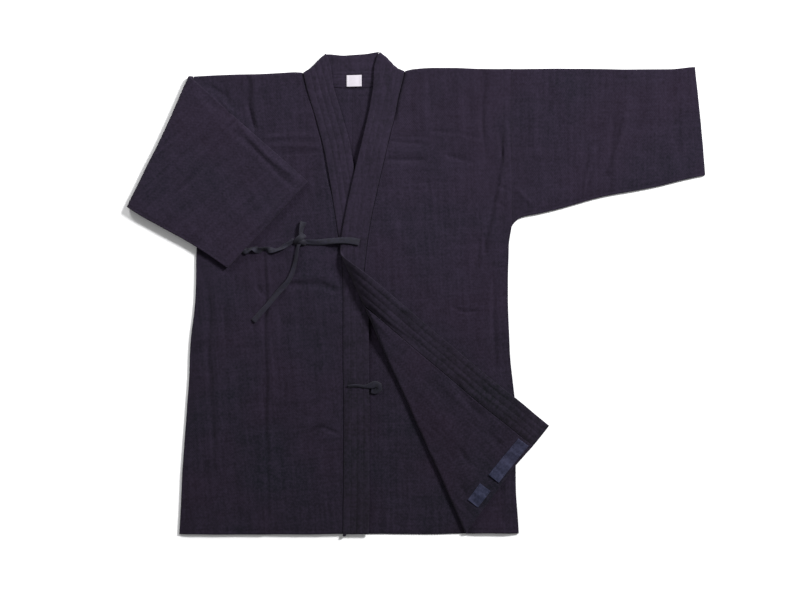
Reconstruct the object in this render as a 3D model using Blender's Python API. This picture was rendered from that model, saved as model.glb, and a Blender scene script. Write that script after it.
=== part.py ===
"""A kendo practice jacket in heavy woven cotton, laid flat on its back.

Its right sleeve is folded over the chest, and the lower corner of its left front is turned back.

Sizes are in millimetres. A place is (across, down): across from the centre back towards the
wearer's left, down from the shoulders towards the hem. Heights are above what it lies on.
A piece is drawn opened out flat, and its folds are then closed over the lines that show.
"""

import math
from collections import namedtuple

import bmesh
import bpy
from mathutils import Vector
from mathutils.geometry import delaunay_2d_cdt

# Cloth
CLOTH = 2.0
BAND_THICK = 3.2
BAND_WIDTH = 48.0
BAND_SPREAD = 4.5
SEAM_GAP = 0.3
LABEL_THICK = 0.8
TIE_WIDTH = 13.5
TIE_THICK = 1.8

# Heights of the middle of the cloth
BACK = CLOTH / 2
FRONT = 4.3
SIDE_SEAM = BACK + CLOTH + SEAM_GAP
BAND_BACK = BAND_THICK / 2
BAND_FRONT = 5.2
BAND_AT_NECK = 7.0

# Cut
ARMHOLE = 294.0
ARMPIT = 284.0
HEM = 857.0
BACK_NECK = 33.0
NECK_CLEAR = 4.0
NECK_RIGHT = (-91.0, 4.0)
NECK_LEFT = (98.0, 4.0)

# Where the whole jacket is centred
CENTRE_ACROSS = 118.2
CENTRE_DOWN = 416.2

Station = namedtuple("Station", "down right left")
SIDES = (
    Station(284, 294.0, 294.0),
    Station(314, 289.0, 290.5),
    Station(333, 287.0, 290.0),
    Station(425, 290.5, 289.5),
    Station(509, 300.0, 292.0),
    Station(596, 305.0, 296.5),
    Station(746, 314.5, 301.0),
    Station(857, 320.0, 308.0),
)
BAND_SEAMS = (
    Station(4, 91.0, 98.0),
    Station(53, 78.0, 86.0),
    Station(99, 64.0, 75.5),
    Station(163, 48.0, 60.0),
    Station(237, 36.0, 42.5),
    Station(298, 26.0, 31.0),
    Station(348, 18.0, 25.0),
    Station(425, 16.7, 19.0),
    Station(600, 16.7, 15.5),
    Station(857, 16.7, 9.0),
)
BAND_ROWS = (1.5, 13.0, 24.0, 36.0, 46.5)
RIB = 0.7

# Half turns of the cloth, each given by the edge that shows
SHOULDER_ROLL = 2.0
SLEEVE_TURN_ROLL = 4.15
FLAP_ROLL = 4.0
FLAP_SETTLE = 60.0
FLAP_GAP = 3.9
FLAP_DROOP = 4.2
FLAP_DROOP_FROM = 14.0
FLAP_DROOP_OVER = 44.0

# Near its top the turned corner stands up, its crest a little way in from the fold
FLAP_LIFT = 11.5
FLAP_LIFT_AT = 62.0
FLAP_LIFT_REACH = 135.0
FLAP_CREST = 27.0
FLAP_FADE = 85.0

# The left front where it lies over the right band
OVERLAP_RISE = 4.7
OVERLAP_FROM = 70.0
OVERLAP_FULL = 165.0
OVERLAP_END = 475.0
OVERLAP_GONE = 570.0
OVERLAP_SIDE = 45.0
OVERLAP_FADE = 85.0

Crease = namedtuple("Crease", "across down to_across to_down width rise")
CREASES_RIGHT = (
    Crease(-192, 12, -190, 60, 16, 2.2),
    Crease(-190, 60, -180, 107, 16, 1.8),
    Crease(-158, 126, -72, 124, 14, 1.5),
    Crease(-150, 146, -62, 143, 14, 1.2),
    Crease(-128, 403, -34, 401, 16, 1.6),
    Crease(-161, 345, -161, 560, 14, 1.3),
    Crease(-161, 560, -158, 800, 14, 1.0),
    Crease(-266, 394, -268, 600, 22, 1.2),
    Crease(-268, 600, -255, 696, 20, 1.2),
    Crease(-81, 672, -30, 662, 14, 1.4),
)
CREASES_LEFT = (
    Crease(58, 133, 142, 140, 12, 1.3),
    Crease(64, 150, 125, 155, 12, 1.3),
    Crease(70, 168, 150, 171, 14, 2.0),
    Crease(150, 114, 244, 120, 16, 1.3),
    Crease(172, 172, 222, 160, 14, 1.2),
    Crease(272, 105, 276, 157, 16, 1.8),
    Crease(276, 157, 258, 257, 16, 1.8),
    Crease(258, 257, 240, 312, 16, 1.4),
    Crease(233, 314, 224, 372, 16, 1.5),
    Crease(188, 440, 234, 447, 16, 1.4),
)
CREASES_FLAP = (
    Crease(100, 440, 190, 500, 22, 1.6),
    Crease(190, 590, 232, 640, 24, -1.2),
    Crease(250, 668, 268, 692, 20, -1.4),
    Crease(200, 705, 214, 732, 20, -1.2),
)
CREASES_SLEEVE_LEFT = (
    Crease(505, 83, 495, 130, 20, 1.5),
    Crease(495, 130, 472, 188, 20, 1.5),
    Crease(446, 146, 430, 188, 18, 2.2),
    Crease(430, 188, 422, 230, 18, 2.2),
    Crease(330, 60, 345, 170, 26, 1.3),
)
CREASES_SLEEVE_RIGHT = (
    Crease(-211, 92, -244, 140, 20, -1.4),
    Crease(-244, 140, -312, 218, 20, -1.4),
    Crease(-205, 116, -112, 218, 16, -1.0),
    Crease(-330, 150, -360, 240, 26, 1.2),
)

Route = namedtuple("Route", "across down height")
CHEST_TIE_LEFT = (
    Route(14.0, 319.5, 13.7),
    Route(0.0, 316.5, 13.7),
    Route(-18.0, 315.5, 13.6),
    Route(-32.0, 316.0, 11.4),
    Route(-46.0, 316.5, 7.4),
    Route(-62.0, 317.0, 6.8),
    Route(-85.9, 316.5, 7.6),
)
CHEST_TIE_TAIL = (
    Route(-96.5, 323.0, 7.6),
    Route(-102.0, 346.0, 6.8),
    Route(-108.0, 370.0, 6.9),
    Route(-118.0, 390.0, 7.8),
    Route(-137.0, 412.0, 7.4),
    Route(-155.0, 433.0, 8.2),
    Route(-185.0, 466.0, 6.9),
)
CHEST_TIE_EAR = (
    Route(-93.0, 303.7, 8.2),
    Route(-92.0, 292.0, 8.8),
    Route(-90.0, 281.0, 7.2),
)
CHEST_TIE_RIGHT = (
    Route(-218.0, 332.0, 6.8),
    Route(-196.0, 331.0, 6.8),
    Route(-172.0, 331.0, 7.2),
    Route(-148.0, 331.5, 7.0),
    Route(-127.0, 326.0, 7.0),
    Route(-104.9, 313.2, 7.6),
)
INNER_TIE = (
    Route(-9.0, 585.0, 8.9),
    Route(8.0, 583.5, 8.9),
    Route(24.0, 584.5, 9.0),
    Route(31.0, 584.5, 8.6),
)

# Colours as linear red, green and blue, and how rough the finish is
INDIGO = (0.021, 0.018, 0.027)
INDIGO_BAND = (0.018, 0.016, 0.024)
TIE_BLUE = (0.050, 0.048, 0.072)
TAPE_BLUE = (0.040, 0.041, 0.068)
LABEL_WHITE = (0.85, 0.82, 0.86)
COTTON_ROUGHNESS = 0.95


def smooth(part):
    """0 to 1 with a soft start and end, and level outside them."""
    part = min(max(part, 0.0), 1.0)
    return part * part * (3 - 2 * part)


def measure(table, down, column):
    """A distance from a table of stations, at any place down the jacket."""
    above = table[0]
    for below in table[1:]:
        if down < below.down:
            share = max(down - above.down, 0.0) / (below.down - above.down)
            start, end = getattr(above, column), getattr(below, column)
            return start + (end - start) * share
        above = below
    return getattr(table[-1], column)


def smooth_run(points, step):
    """Points about step apart on a smooth curve through the given ones."""
    points = [Vector(point) for point in points]
    ends = [2 * points[0] - points[1]] + points + [2 * points[-1] - points[-2]]
    run = [points[0]]
    for before, start, end, after in zip(ends, ends[1:], ends[2:], ends[3:]):
        count = max(1, round((end - start).length / step))
        for index in range(1, count + 1):
            t = index / count
            pull = (end - before) * t * (1 - t) ** 2 - (after - start) * t * t * (1 - t)
            run.append(start.lerp(end, smooth(t)) + pull / 2)
    return run


def straight_run(points, step):
    """Points about step apart on straight lines through the given ones."""
    run = [Vector(points[0])]
    for start, end in zip(points, points[1:]):
        start, end = Vector(start), Vector(end)
        count = max(1, round((end - start).length / step))
        run += [start.lerp(end, index / count) for index in range(1, count + 1)]
    return run


def beside(run, distance):
    """The run moved sideways, to the left of the way that it goes as seen on the jacket."""
    moved = []
    for index, point in enumerate(run):
        ahead = run[min(index + 1, len(run) - 1)] - run[max(index - 1, 0)]
        side = Vector((ahead.y, -ahead.x)).normalized()
        moved.append(point + side * distance)
    return moved


def distance_to(run, place):
    """How far a place is from a run of points."""
    nearest = math.inf
    for start, end in zip(run, run[1:]):
        step = end - start
        share = min(max((place - start).dot(step) / step.length_squared, 0.0), 1.0)
        nearest = min(nearest, (place - start - step * share).length)
    return nearest


class Fold:
    """Cloth turned through half a circle, over a line that is the edge that shows."""

    def __init__(self, start, end, middle, half, roll, down=False):
        self.start = Vector(start)
        self.way = (Vector(end) - self.start).normalized()
        self.out = Vector((self.way.y, -self.way.x))
        self.middle = middle
        self.half = half
        self.roll = roll
        self.sign = -1 if down else 1

    def split(self, place):
        """Along the line, and beyond it."""
        offset = Vector(place[:2]) - self.start
        return offset.dot(self.way), offset.dot(self.out)

    def join(self, along, beyond):
        return self.start + self.way * along + self.out * beyond

    def turned(self, place):
        """From 0 before the turn to 1 after it."""
        along, beyond = self.split(place)
        roll = self.roll(along)
        return min(max((beyond + roll + self.half) / (math.pi * roll), 0.0), 1.0)

    def close(self, point):
        """A point of the flat cloth, where the turn takes it."""
        along, beyond = self.split(point)
        roll = self.roll(along)
        inset = roll + self.half
        length = math.pi * roll
        axis = self.middle + self.sign * roll
        past = beyond + inset
        if past <= 0:
            return point
        angle = math.pi * min(past / length, 1.0)
        arm = axis - point.z
        outward = abs(arm) * math.sin(angle) - max(past - length, 0.0)
        across, down = self.join(along, outward - inset)
        return Vector((across, down, axis - arm * math.cos(angle)))

    def open(self, place):
        """A place seen on the layer past the turn, where it is on the flat cloth."""
        along, beyond = self.split(place)
        roll = self.roll(along)
        extra = math.pi * roll - 2 * (roll + self.half)
        return self.join(along, extra - beyond)

    def lines(self, first, last, step, count):
        """Lines along the turn on the flat cloth, evenly round it."""
        stations = max(2, round((last - first) / step) + 1)
        found = []
        for index in range(count + 1):
            run = []
            for station in range(stations):
                along = first + (last - first) * station / (stations - 1)
                roll = self.roll(along)
                run.append(self.join(along, math.pi * roll * index / count - roll - self.half))
            found.append(run)
        return found


def even(radius):
    return lambda along: radius


def flap_lift(from_top, inward):
    """How far the turned corner stands up, by the way down from its top and in from its fold."""
    along = 1 - smooth(abs(from_top - FLAP_LIFT_AT) / FLAP_LIFT_REACH)
    if inward < FLAP_CREST:
        return FLAP_LIFT * along * smooth(inward / FLAP_CREST)
    return FLAP_LIFT * along * (1 - smooth((inward - FLAP_CREST) / FLAP_FADE))


FLAP_TOP = (-27.8, 325.6)
FLAP_FOOT = (211.0, 857.0)
FLAP_LENGTH = (Vector(FLAP_FOOT) - Vector(FLAP_TOP)).length
SLEEVE_STACK = (BACK + FRONT) / 2

SHOULDER_RIGHT = Fold((-ARMHOLE, 13.0), NECK_RIGHT, BACK, CLOTH / 2, even(SHOULDER_ROLL))
SHOULDER_LEFT = Fold(NECK_LEFT, (ARMHOLE, -1.0), BACK, CLOTH / 2, even(SHOULDER_ROLL))
SLEEVE_TOP_RIGHT = Fold((-596.0, -33.0), (-ARMHOLE, 13.0), BACK, CLOTH / 2, even(SHOULDER_ROLL))
SLEEVE_TOP_LEFT = Fold((ARMHOLE, -1.0), (634.0, -2.0), BACK, CLOTH / 2, even(SHOULDER_ROLL))
SLEEVE_TURN = Fold((-416.3, 255.3), (-303.4, 13.0), SLEEVE_STACK, SLEEVE_STACK, even(SLEEVE_TURN_ROLL))
FLAP = Fold(FLAP_FOOT, FLAP_TOP, FRONT, CLOTH / 2, even(FLAP_ROLL))
NECK_ROLL = (BAND_AT_NECK - BAND_BACK) / 2
NECK_TURN_RIGHT = Fold(NECK_RIGHT, (-50.0, -24.0), BAND_AT_NECK, BAND_THICK / 2, even(NECK_ROLL), down=True)
NECK_TURN_LEFT = Fold((51.8, -30.5), NECK_LEFT, BAND_AT_NECK, BAND_THICK / 2, even(NECK_ROLL), down=True)


def crease_rise(creases, place):
    """How far the creases lift or sink the cloth at a place."""
    total = 0.0
    for crease in creases:
        start = Vector((crease.across, crease.down))
        run = Vector((crease.to_across, crease.to_down)) - start
        share = (Vector(place[:2]) - start).dot(run) / run.length_squared
        if not -0.15 < share < 1.15:
            continue
        off = abs((Vector(place[:2]) - start).cross(run)) / run.length / (crease.width / 2)
        if off < 1:
            ends = smooth((share + 0.15) / 0.3) * smooth((1.15 - share) / 0.3)
            total += crease.rise * (1 - off * off) ** 2 * ends
    return total


def crease_lines(creases, step):
    """The ridge and both feet of each crease, as runs of points."""
    found = []
    for crease in creases:
        ends = ((crease.across, crease.down), (crease.to_across, crease.to_down))
        ridge = straight_run(ends, step)
        found += [ridge, beside(ridge, crease.width / 2), beside(ridge, -crease.width / 2)]
    return found


def overlap_rise(place):
    """The left front lifts where its band lies on the right band."""
    across, down = place[0], place[1]
    rise = smooth((down - OVERLAP_FROM) / (OVERLAP_FULL - OVERLAP_FROM))
    fall = 1 - smooth((down - OVERLAP_END) / (OVERLAP_GONE - OVERLAP_END))
    return OVERLAP_RISE * rise * fall * (1 - smooth((across - OVERLAP_SIDE) / OVERLAP_FADE))


def front_height(place, side):
    """Height of a front's middle: full at the shoulder roll, lower on the panel, lowest at the side seam."""
    across, down = place[0], place[1]
    at_shoulder = BACK + 2 * SHOULDER_ROLL
    settled = FRONT + (at_shoulder - FRONT) * (1 - smooth(down / 60))
    inward = measure(SIDES, down, side) - abs(across)
    seam = (1 - smooth(inward / 32)) * smooth((down - ARMPIT) / 50)
    return settled + (SIDE_SEAM - FRONT) * seam


def sleeve_height(across_top, down_from_top, depth):
    """Height of a sleeve's upper layer above its own top fold, underarm seam and open cuff."""
    at_top = BACK + 2 * SHOULDER_ROLL
    settled = FRONT + (at_top - FRONT) * (1 - smooth(down_from_top / 50))
    seam = 1 - smooth((depth - down_from_top) / 30)
    return settled + (SIDE_SEAM - FRONT) * seam * smooth(down_from_top / 50)


def place_body(shoulder, side, creases):
    """Where a point of a front and back panel, cut in one, lies on the jacket."""

    def place(flat, off):
        point = shoulder.close(Vector((flat.x, flat.y, BACK + off)))
        turned = shoulder.turned(flat)
        if turned == 1.0:
            point.z += front_height(point, side) - BACK - 2 * SHOULDER_ROLL
            point.z += crease_rise(creases, point)
        return point

    return place


def place_left_body(flat, off):
    """The left panel, whose lower corner is turned back over the front."""
    point = SHOULDER_LEFT.close(Vector((flat.x, flat.y, BACK + off)))
    if SHOULDER_LEFT.turned(flat) < 1.0:
        return point
    on_front = point.copy()
    point.z += front_height(point, "left") - BACK - 2 * SHOULDER_ROLL
    return turn_flap(on_front, point, CREASES_LEFT)


def turn_flap(on_front, point, creases):
    """A point of the left front or its band, with the lower corner turned back and settled."""
    point = FLAP.close(point)
    turned = FLAP.turned(on_front)
    if turned == 1.0:
        along, beyond = FLAP.split(point)
        inward = -beyond - FLAP_ROLL - CLOTH / 2
        point.z -= (2 * FLAP_ROLL - FLAP_GAP) * smooth(inward / FLAP_SETTLE)
        point.z += flap_lift(FLAP_LENGTH - along, inward)
        edge = measure(SIDES, point.y, "left")
        point.z -= FLAP_DROOP * smooth((point.x - edge - FLAP_DROOP_FROM) / FLAP_DROOP_OVER)
        point.z += crease_rise(CREASES_FLAP, point)
    elif turned == 0.0:
        point.z += crease_rise(creases, point)
    point.z += overlap_rise(point)
    return point


def place_band_front(neck, side):
    """A point of the collar band on a front, from where it turns at the neck."""

    def place(flat, off):
        settled = smooth((flat.y - 10) / 75)
        height = BAND_AT_NECK + (BAND_FRONT - BAND_AT_NECK) * settled
        point = Vector((flat.x, flat.y, height + off))
        if neck.turned(flat) > 0:
            return neck.close(point)
        if side == "left":
            return turn_flap(flat, point, ())
        return point

    return place


def place_sleeve_left(flat, off):
    """The left sleeve lies flat: one piece folded over its top edge."""
    point = SLEEVE_TOP_LEFT.close(Vector((flat.x, flat.y, BACK + off)))
    if SLEEVE_TOP_LEFT.turned(flat) == 1.0:
        along, beyond = SLEEVE_TOP_LEFT.split(point)
        depth = measure(SLEEVE_DEPTHS, along, "left")
        point.z += sleeve_height(along, -beyond, depth) - BACK - 2 * SHOULDER_ROLL
        point.z += crease_rise(CREASES_SLEEVE_LEFT, point)
    return point


def place_sleeve_right(flat, off):
    """The right sleeve is made the same way, and then folded over the chest with both its layers."""
    point = SLEEVE_TOP_RIGHT.close(Vector((flat.x, flat.y, BACK + off)))
    upper = SLEEVE_TOP_RIGHT.turned(flat) == 1.0
    if upper:
        along, beyond = SLEEVE_TOP_RIGHT.split(point)
        point.z += FRONT - BACK - 2 * SHOULDER_ROLL
        point.z += (BACK + 2 * SHOULDER_ROLL - FRONT) * (1 - smooth(-beyond / 50))
    before = point.copy()
    point = SLEEVE_TURN.close(point)
    if SLEEVE_TURN.turned(before) == 1.0 and not upper:
        point.z += crease_rise(CREASES_SLEEVE_RIGHT, point)
    return point


SLEEVE_DEPTHS = (
    Station(0, 240.0, 262.0),
    Station(60, 240.0, 255.0),
    Station(146, 240.0, 238.0),
    Station(265, 220.0, 218.0),
    Station(360, 205.0, 200.0),
)


def is_inside(outline, place):
    """Whether a place is inside a closed outline."""
    found = False
    for start, end in zip(outline, outline[1:] + outline[:1]):
        if (start.y > place.y) != (end.y > place.y):
            crossing = start.x + (place.y - start.y) * (end.x - start.x) / (end.y - start.y)
            found ^= place.x < crossing
    return found


def grid(outline, spacing, wanted=None):
    """Points in staggered rows that fill an outline, with their spacing."""
    found = []
    low_x, high_x = min(p.x for p in outline), max(p.x for p in outline)
    low_y, high_y = min(p.y for p in outline), max(p.y for p in outline)
    rise = spacing * math.sqrt(3) / 2
    for row in range(int((high_y - low_y) / rise) + 1):
        for column in range(int((high_x - low_x) / spacing) + 2):
            place = Vector((low_x + spacing * (column + (row % 2) / 2), low_y + rise * row))
            if is_inside(outline, place) and (wanted is None or wanted(place)):
                found.append((place, spacing))
    return found


def world(point):
    return Vector((point.x - CENTRE_ACROSS, CENTRE_DOWN - point.y, point.z)) / 1000


def finish(obj, colour):
    """One cotton material for one piece."""
    material = bpy.data.materials.new(obj.name)
    material.use_nodes = True
    shader = material.node_tree.nodes["Principled BSDF"]
    shader.inputs["Base Color"].default_value = (*colour, 1.0)
    shader.inputs["Roughness"].default_value = COTTON_ROUGHNESS
    shader.inputs["Metallic"].default_value = 0.0
    obj.data.materials.append(material)


def add_piece(name, mesh, colour):
    """A named object from a closed mesh, turned to face out."""
    if mesh.calc_volume(signed=True) < 0:
        bmesh.ops.reverse_faces(mesh, faces=mesh.faces)
    data = bpy.data.meshes.new(name)
    mesh.to_mesh(data)
    mesh.free()
    obj = bpy.data.objects.new(name, data)
    bpy.context.scene.collection.objects.link(obj)
    finish(obj, colour)
    return obj


def wall(name, outline, place, under, over, colour, lines=(), fill=(), relief=None):
    """A wall of cloth between two offsets from its middle, with any relief on the face that shows."""
    points = list(outline)
    edges = []
    for line in lines:
        clear = [point for point in line if distance_to(outline + outline[:1], point) > LINE_CLEAR]
        inside = [is_inside(outline, point) for point in clear]
        near = [any(inside[max(index - 1, 0):index + 2]) for index in range(len(clear))]
        for index, point in enumerate(clear):
            if near[index]:
                points.append(point)
                if index and near[index - 1]:
                    edges.append((len(points) - 2, len(points) - 1))
    for point, spacing in fill:
        if all((point - other).length > 0.5 * spacing for other in points):
            points.append(point)
    made = delaunay_2d_cdt(points, edges, [list(range(len(outline)))], 1, 1e-5)
    middle = [sum((made[0][index] for index in face), Vector((0, 0))) / len(face) for face in made[2]]
    faces = [face for face, place_of in zip(made[2], middle) if is_inside(outline, place_of)]
    mesh = bmesh.new()
    lower, upper = {}, {}
    for index in sorted({index for face in faces for index in face}):
        spot = made[0][index]
        low, high = place(spot, under), place(spot, over)
        if relief:
            raised = relief(spot) * abs(high.z - low.z) / (over - under)
            if high.z > low.z:
                high.z += raised
            else:
                low.z += raised
        lower[index] = mesh.verts.new(world(low))
        upper[index] = mesh.verts.new(world(high))
    used = {}
    for face in faces:
        mesh.faces.new([upper[index] for index in face])
        mesh.faces.new([lower[index] for index in reversed(face)])
        for start, end in zip(face, face[1:] + face[:1]):
            used[(start, end)] = True
    for start, end in used:
        if (end, start) not in used:
            mesh.faces.new((upper[end], upper[start], lower[start], lower[end]))
    bmesh.ops.triangulate(mesh, faces=mesh.faces)
    return add_piece(name, mesh, colour)


def ribbon(name, route, width, thick, colour):
    """A flat tape along a route, with square ends."""
    run = smooth_run(route, width / 2)
    mesh = bmesh.new()
    rings = []
    for index, point in enumerate(run):
        ahead = run[min(index + 1, len(run) - 1)] - run[max(index - 1, 0)]
        side = Vector((ahead.y, -ahead.x, 0)).normalized() * width / 2
        up = side.cross(ahead).normalized() * thick / 2
        if up.z < 0:
            up.negate()
        corners = (point + side + up, point - side + up, point - side - up, point + side - up)
        rings.append([mesh.verts.new(world(corner)) for corner in corners])
    for ring, after in zip(rings, rings[1:]):
        for index in range(4):
            other = (index + 1) % 4
            mesh.faces.new((ring[index], ring[other], after[other], after[index]))
    mesh.faces.new(rings[0][::-1])
    mesh.faces.new(rings[-1])
    bmesh.ops.triangulate(mesh, faces=mesh.faces)
    return add_piece(name, mesh, colour)


def knot(name, across, down, low, size, colour):
    """A rounded solid for a tied or curled lump of tape. Size is across, down and high."""
    mesh = bmesh.new()
    bmesh.ops.create_icosphere(mesh, subdivisions=2, radius=0.5)
    centre = Vector((across, down, low + size[2] / 2))
    for vertex in mesh.verts:
        stretched = Vector([part * extent for part, extent in zip(vertex.co, size)])
        vertex.co = world(centre + stretched)
    return add_piece(name, mesh, colour)


def side_edge(side, first, last, step):
    """A side of the body from one place down to another, on the wearer's right or left."""
    sign = -1 if side == "right" else 1
    rows = [row for row in SIDES if first <= row.down <= last]
    return smooth_run([(sign * getattr(row, side), row.down) for row in rows], step)


def seam_edge(side, last, step):
    """The line where a front meets its band, from the neck down."""
    sign = -1 if side == "right" else 1
    rows = [row for row in BAND_SEAMS if row.down <= last]
    return smooth_run([(sign * getattr(row, side), row.down) for row in rows], step)


def back_neck(side, step):
    """The back neck seam, from the shoulder to the centre back."""
    sign, neck = (-1, NECK_RIGHT) if side == "right" else (1, NECK_LEFT)
    points = (neck, (sign * 75.0, 18.5), (sign * 52.0, 28.5), (sign * 24.0, BACK_NECK - 0.5), (0.0, BACK_NECK))
    return smooth_run(points, step)


def joined(*runs):
    """Runs of points end to end, without the ones that repeat."""
    outline = []
    for run in runs:
        for point in run:
            if not outline or (point - outline[-1]).length > 0.5:
                outline.append(point)
    if (outline[0] - outline[-1]).length <= 0.5:
        outline.pop()
    return outline


def opened(fold, run):
    return [fold.open(point) for point in run]


def moved(run, across, down=0.0):
    return [point + Vector((across, down)) for point in run]


# Spacing of points: along seams and creases, over panels that show, and over ones that lie flat
FINE, COARSE, FLAT = 26.0, 32.0, 95.0
LINE_CLEAR = 1.5


def build_body_right():
    """Right front and back, cut in one over the shoulder."""
    fold = SHOULDER_RIGHT
    seam = moved(seam_edge("right", HEM, FINE), -SEAM_GAP)
    side = side_edge("right", ARMPIT, HEM, COARSE)
    armhole = straight_run(((-ARMHOLE, 16.0), (-ARMHOLE, ARMPIT)), COARSE)
    neck = moved(back_neck("right", FINE), -NECK_CLEAR, 1.2)
    outline = joined(
        armhole,
        side,
        straight_run((side[-1], (-SEAM_GAP / 2, HEM)), FLAT),
        straight_run(((-SEAM_GAP / 2, HEM), (-SEAM_GAP / 2, neck[-1].y)), FLAT),
        neck[-2::-1],
        opened(fold, seam),
        opened(fold, straight_run((seam[-1], side[-1]), COARSE)),
        opened(fold, side[::-1]),
        opened(fold, armhole[::-1]),
    )
    front = lambda place: fold.turned(place) == 1.0
    back = lambda place: fold.turned(place) == 0.0
    creases = [opened(fold, line) for line in crease_lines(CREASES_RIGHT, FINE)]
    lines = fold.lines(-8.0, 212.0, COARSE, 5) + creases
    fill = grid(outline, COARSE, front) + grid(outline, FLAT, back)
    place = place_body(fold, "right", CREASES_RIGHT)
    wall("body_right", outline, place, -CLOTH / 2, CLOTH / 2, INDIGO, lines, fill)


def flap_crest_lines(first, last, step):
    """Lines beside the fold of the turned corner, over its crest, on the front before it is turned."""
    inset = FLAP_ROLL + CLOTH / 2
    found = []
    for inward in (9.0, 18.0, 27.0, 42.0, 62.0, 86.0):
        ends = (FLAP.join(FLAP_LENGTH - first, -inset - inward), FLAP.join(FLAP_LENGTH - last, -inset - inward))
        found.append(opened(FLAP, straight_run(ends, step)))
    return found


def turn_clear(down):
    """A wider seam where the left front and its band turn back together."""
    return 1.4 * (1 - smooth(abs(down - 424.0) / 75))


def build_body_left():
    """Left front and back, cut in one, with the front's lower corner turned back."""
    fold = SHOULDER_LEFT
    seam = [point + Vector((SEAM_GAP + turn_clear(point.y), 0.0)) for point in seam_edge("left", HEM, FINE)]
    side = side_edge("left", ARMPIT, HEM, COARSE)
    armhole = straight_run(((ARMHOLE, 2.0), (ARMHOLE, ARMPIT)), COARSE)
    neck = moved(back_neck("left", FINE), NECK_CLEAR, 1.2)
    hem = straight_run((side[-1], FLAP_FOOT, (60.0, 841.0), (seam[-1].x, 839.0)), FINE)
    seam = [point for point in seam if point.y < 838.0]
    outline = joined(
        opened(fold, armhole),
        opened(fold, side),
        opened(fold, hem),
        opened(fold, seam[::-1]),
        neck[:-1],
        straight_run(((SEAM_GAP / 2, neck[-1].y), (SEAM_GAP / 2, HEM)), FLAT),
        straight_run(((SEAM_GAP / 2, HEM), side[-1]), FLAT),
        side[::-1],
        armhole[::-1],
    )
    front = lambda place: fold.turned(place) == 1.0
    back = lambda place: fold.turned(place) == 0.0
    turn = FLAP.lines(-12.0, FLAP_LENGTH - 45.0, 18.0, 7)
    creases = crease_lines(CREASES_LEFT, FINE) + flap_crest_lines(18.0, 230.0, 18.0)
    creases += [opened(FLAP, line) for line in crease_lines(CREASES_FLAP, FINE)]
    lines = fold.lines(-8.0, 204.0, COARSE, 5)
    lines += [opened(fold, line) for line in turn + creases]
    fill = grid(outline, COARSE, front) + grid(outline, FLAT, back)
    wall("body_left", outline, place_left_body, -CLOTH / 2, CLOTH / 2, INDIGO, lines, fill)


def build_sleeve_left():
    """Left sleeve: armhole edge, underarm seam, cuff, and the same again past the top fold."""
    fold = SLEEVE_TOP_LEFT
    armhole = straight_run(((ARMHOLE + SEAM_GAP, 2.0), (ARMHOLE + SEAM_GAP, 283.0)), COARSE)
    underarm = smooth_run(
        ((ARMHOLE + SEAM_GAP, 283.0), (301.5, 271.5), (316.0, 262.0), (357.0, 253.5),
         (440.0, 238.0), (559.0, 216.5), (653.0, 198.0)), COARSE)
    cuff = straight_run(((653.0, 198.0), (634.0, 2.0)), COARSE)
    edge = joined(armhole, underarm, cuff)
    outline = joined(edge, opened(fold, edge[::-1]))
    creases = [opened(fold, line) for line in crease_lines(CREASES_SLEEVE_LEFT, FINE)]
    lines = fold.lines(-8.0, 350.0, COARSE, 5) + creases
    front = lambda place: fold.turned(place) == 1.0
    back = lambda place: fold.turned(place) == 0.0
    fill = grid(outline, COARSE, front) + grid(outline, 70.0, back)
    wall("sleeve_left", outline, place_sleeve_left, -CLOTH / 2, CLOTH / 2, INDIGO, lines, fill)


def build_sleeve_right():
    """Right sleeve, drawn as if it lay out flat, before its fold over the chest."""
    top = SLEEVE_TOP_RIGHT
    edge_across = -ARMHOLE - SEAM_GAP
    armhole = straight_run(((edge_across - 0.9, 16.0), (edge_across, 60.0), (edge_across, 283.0)), COARSE)
    underarm = smooth_run(
        ((-ARMHOLE - SEAM_GAP, 283.0), (-301.5, 274.5), (-316.0, 269.0), (-416.0, 253.0),
         (-485.0, 229.0), (-555.0, 203.0), (-620.0, 183.0)), COARSE)
    cuff = straight_run(((-620.0, 183.0), (-596.5, -29.0)), COARSE)
    edge = joined(armhole, underarm, cuff)
    outline = joined(edge, opened(top, edge[::-1]))
    turn = SLEEVE_TURN.lines(-14.0, 285.0, FINE, 7)
    creases = crease_lines(CREASES_SLEEVE_RIGHT, FINE)
    lines = top.lines(-8.0, 314.0, COARSE, 5)
    lines += turn + [opened(top, line) for line in turn]
    lines += [opened(SLEEVE_TURN, line) for line in creases]
    fill = grid(outline, COARSE)
    wall("sleeve_right", outline, place_sleeve_right, -CLOTH / 2, CLOTH / 2, INDIGO, lines, fill)


def band_ribs(seam):
    """The band is quilted lengthways: it swells between its rows of stitching."""

    def rib(place):
        off = distance_to(seam, place)
        for row, after in zip(BAND_ROWS, BAND_ROWS[1:]):
            if row < off < after:
                return RIB * math.sin(math.pi * (off - row) / (after - row)) ** 2
        return 0.0

    return rib


def band_lines(seam, sign):
    """The rows of stitching and the tops of the ribs between them."""
    middles = [(row + after) / 2 for row, after in zip(BAND_ROWS, BAND_ROWS[1:])]
    return [beside(seam, sign * off) for off in sorted((*BAND_ROWS, *middles))]


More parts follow.
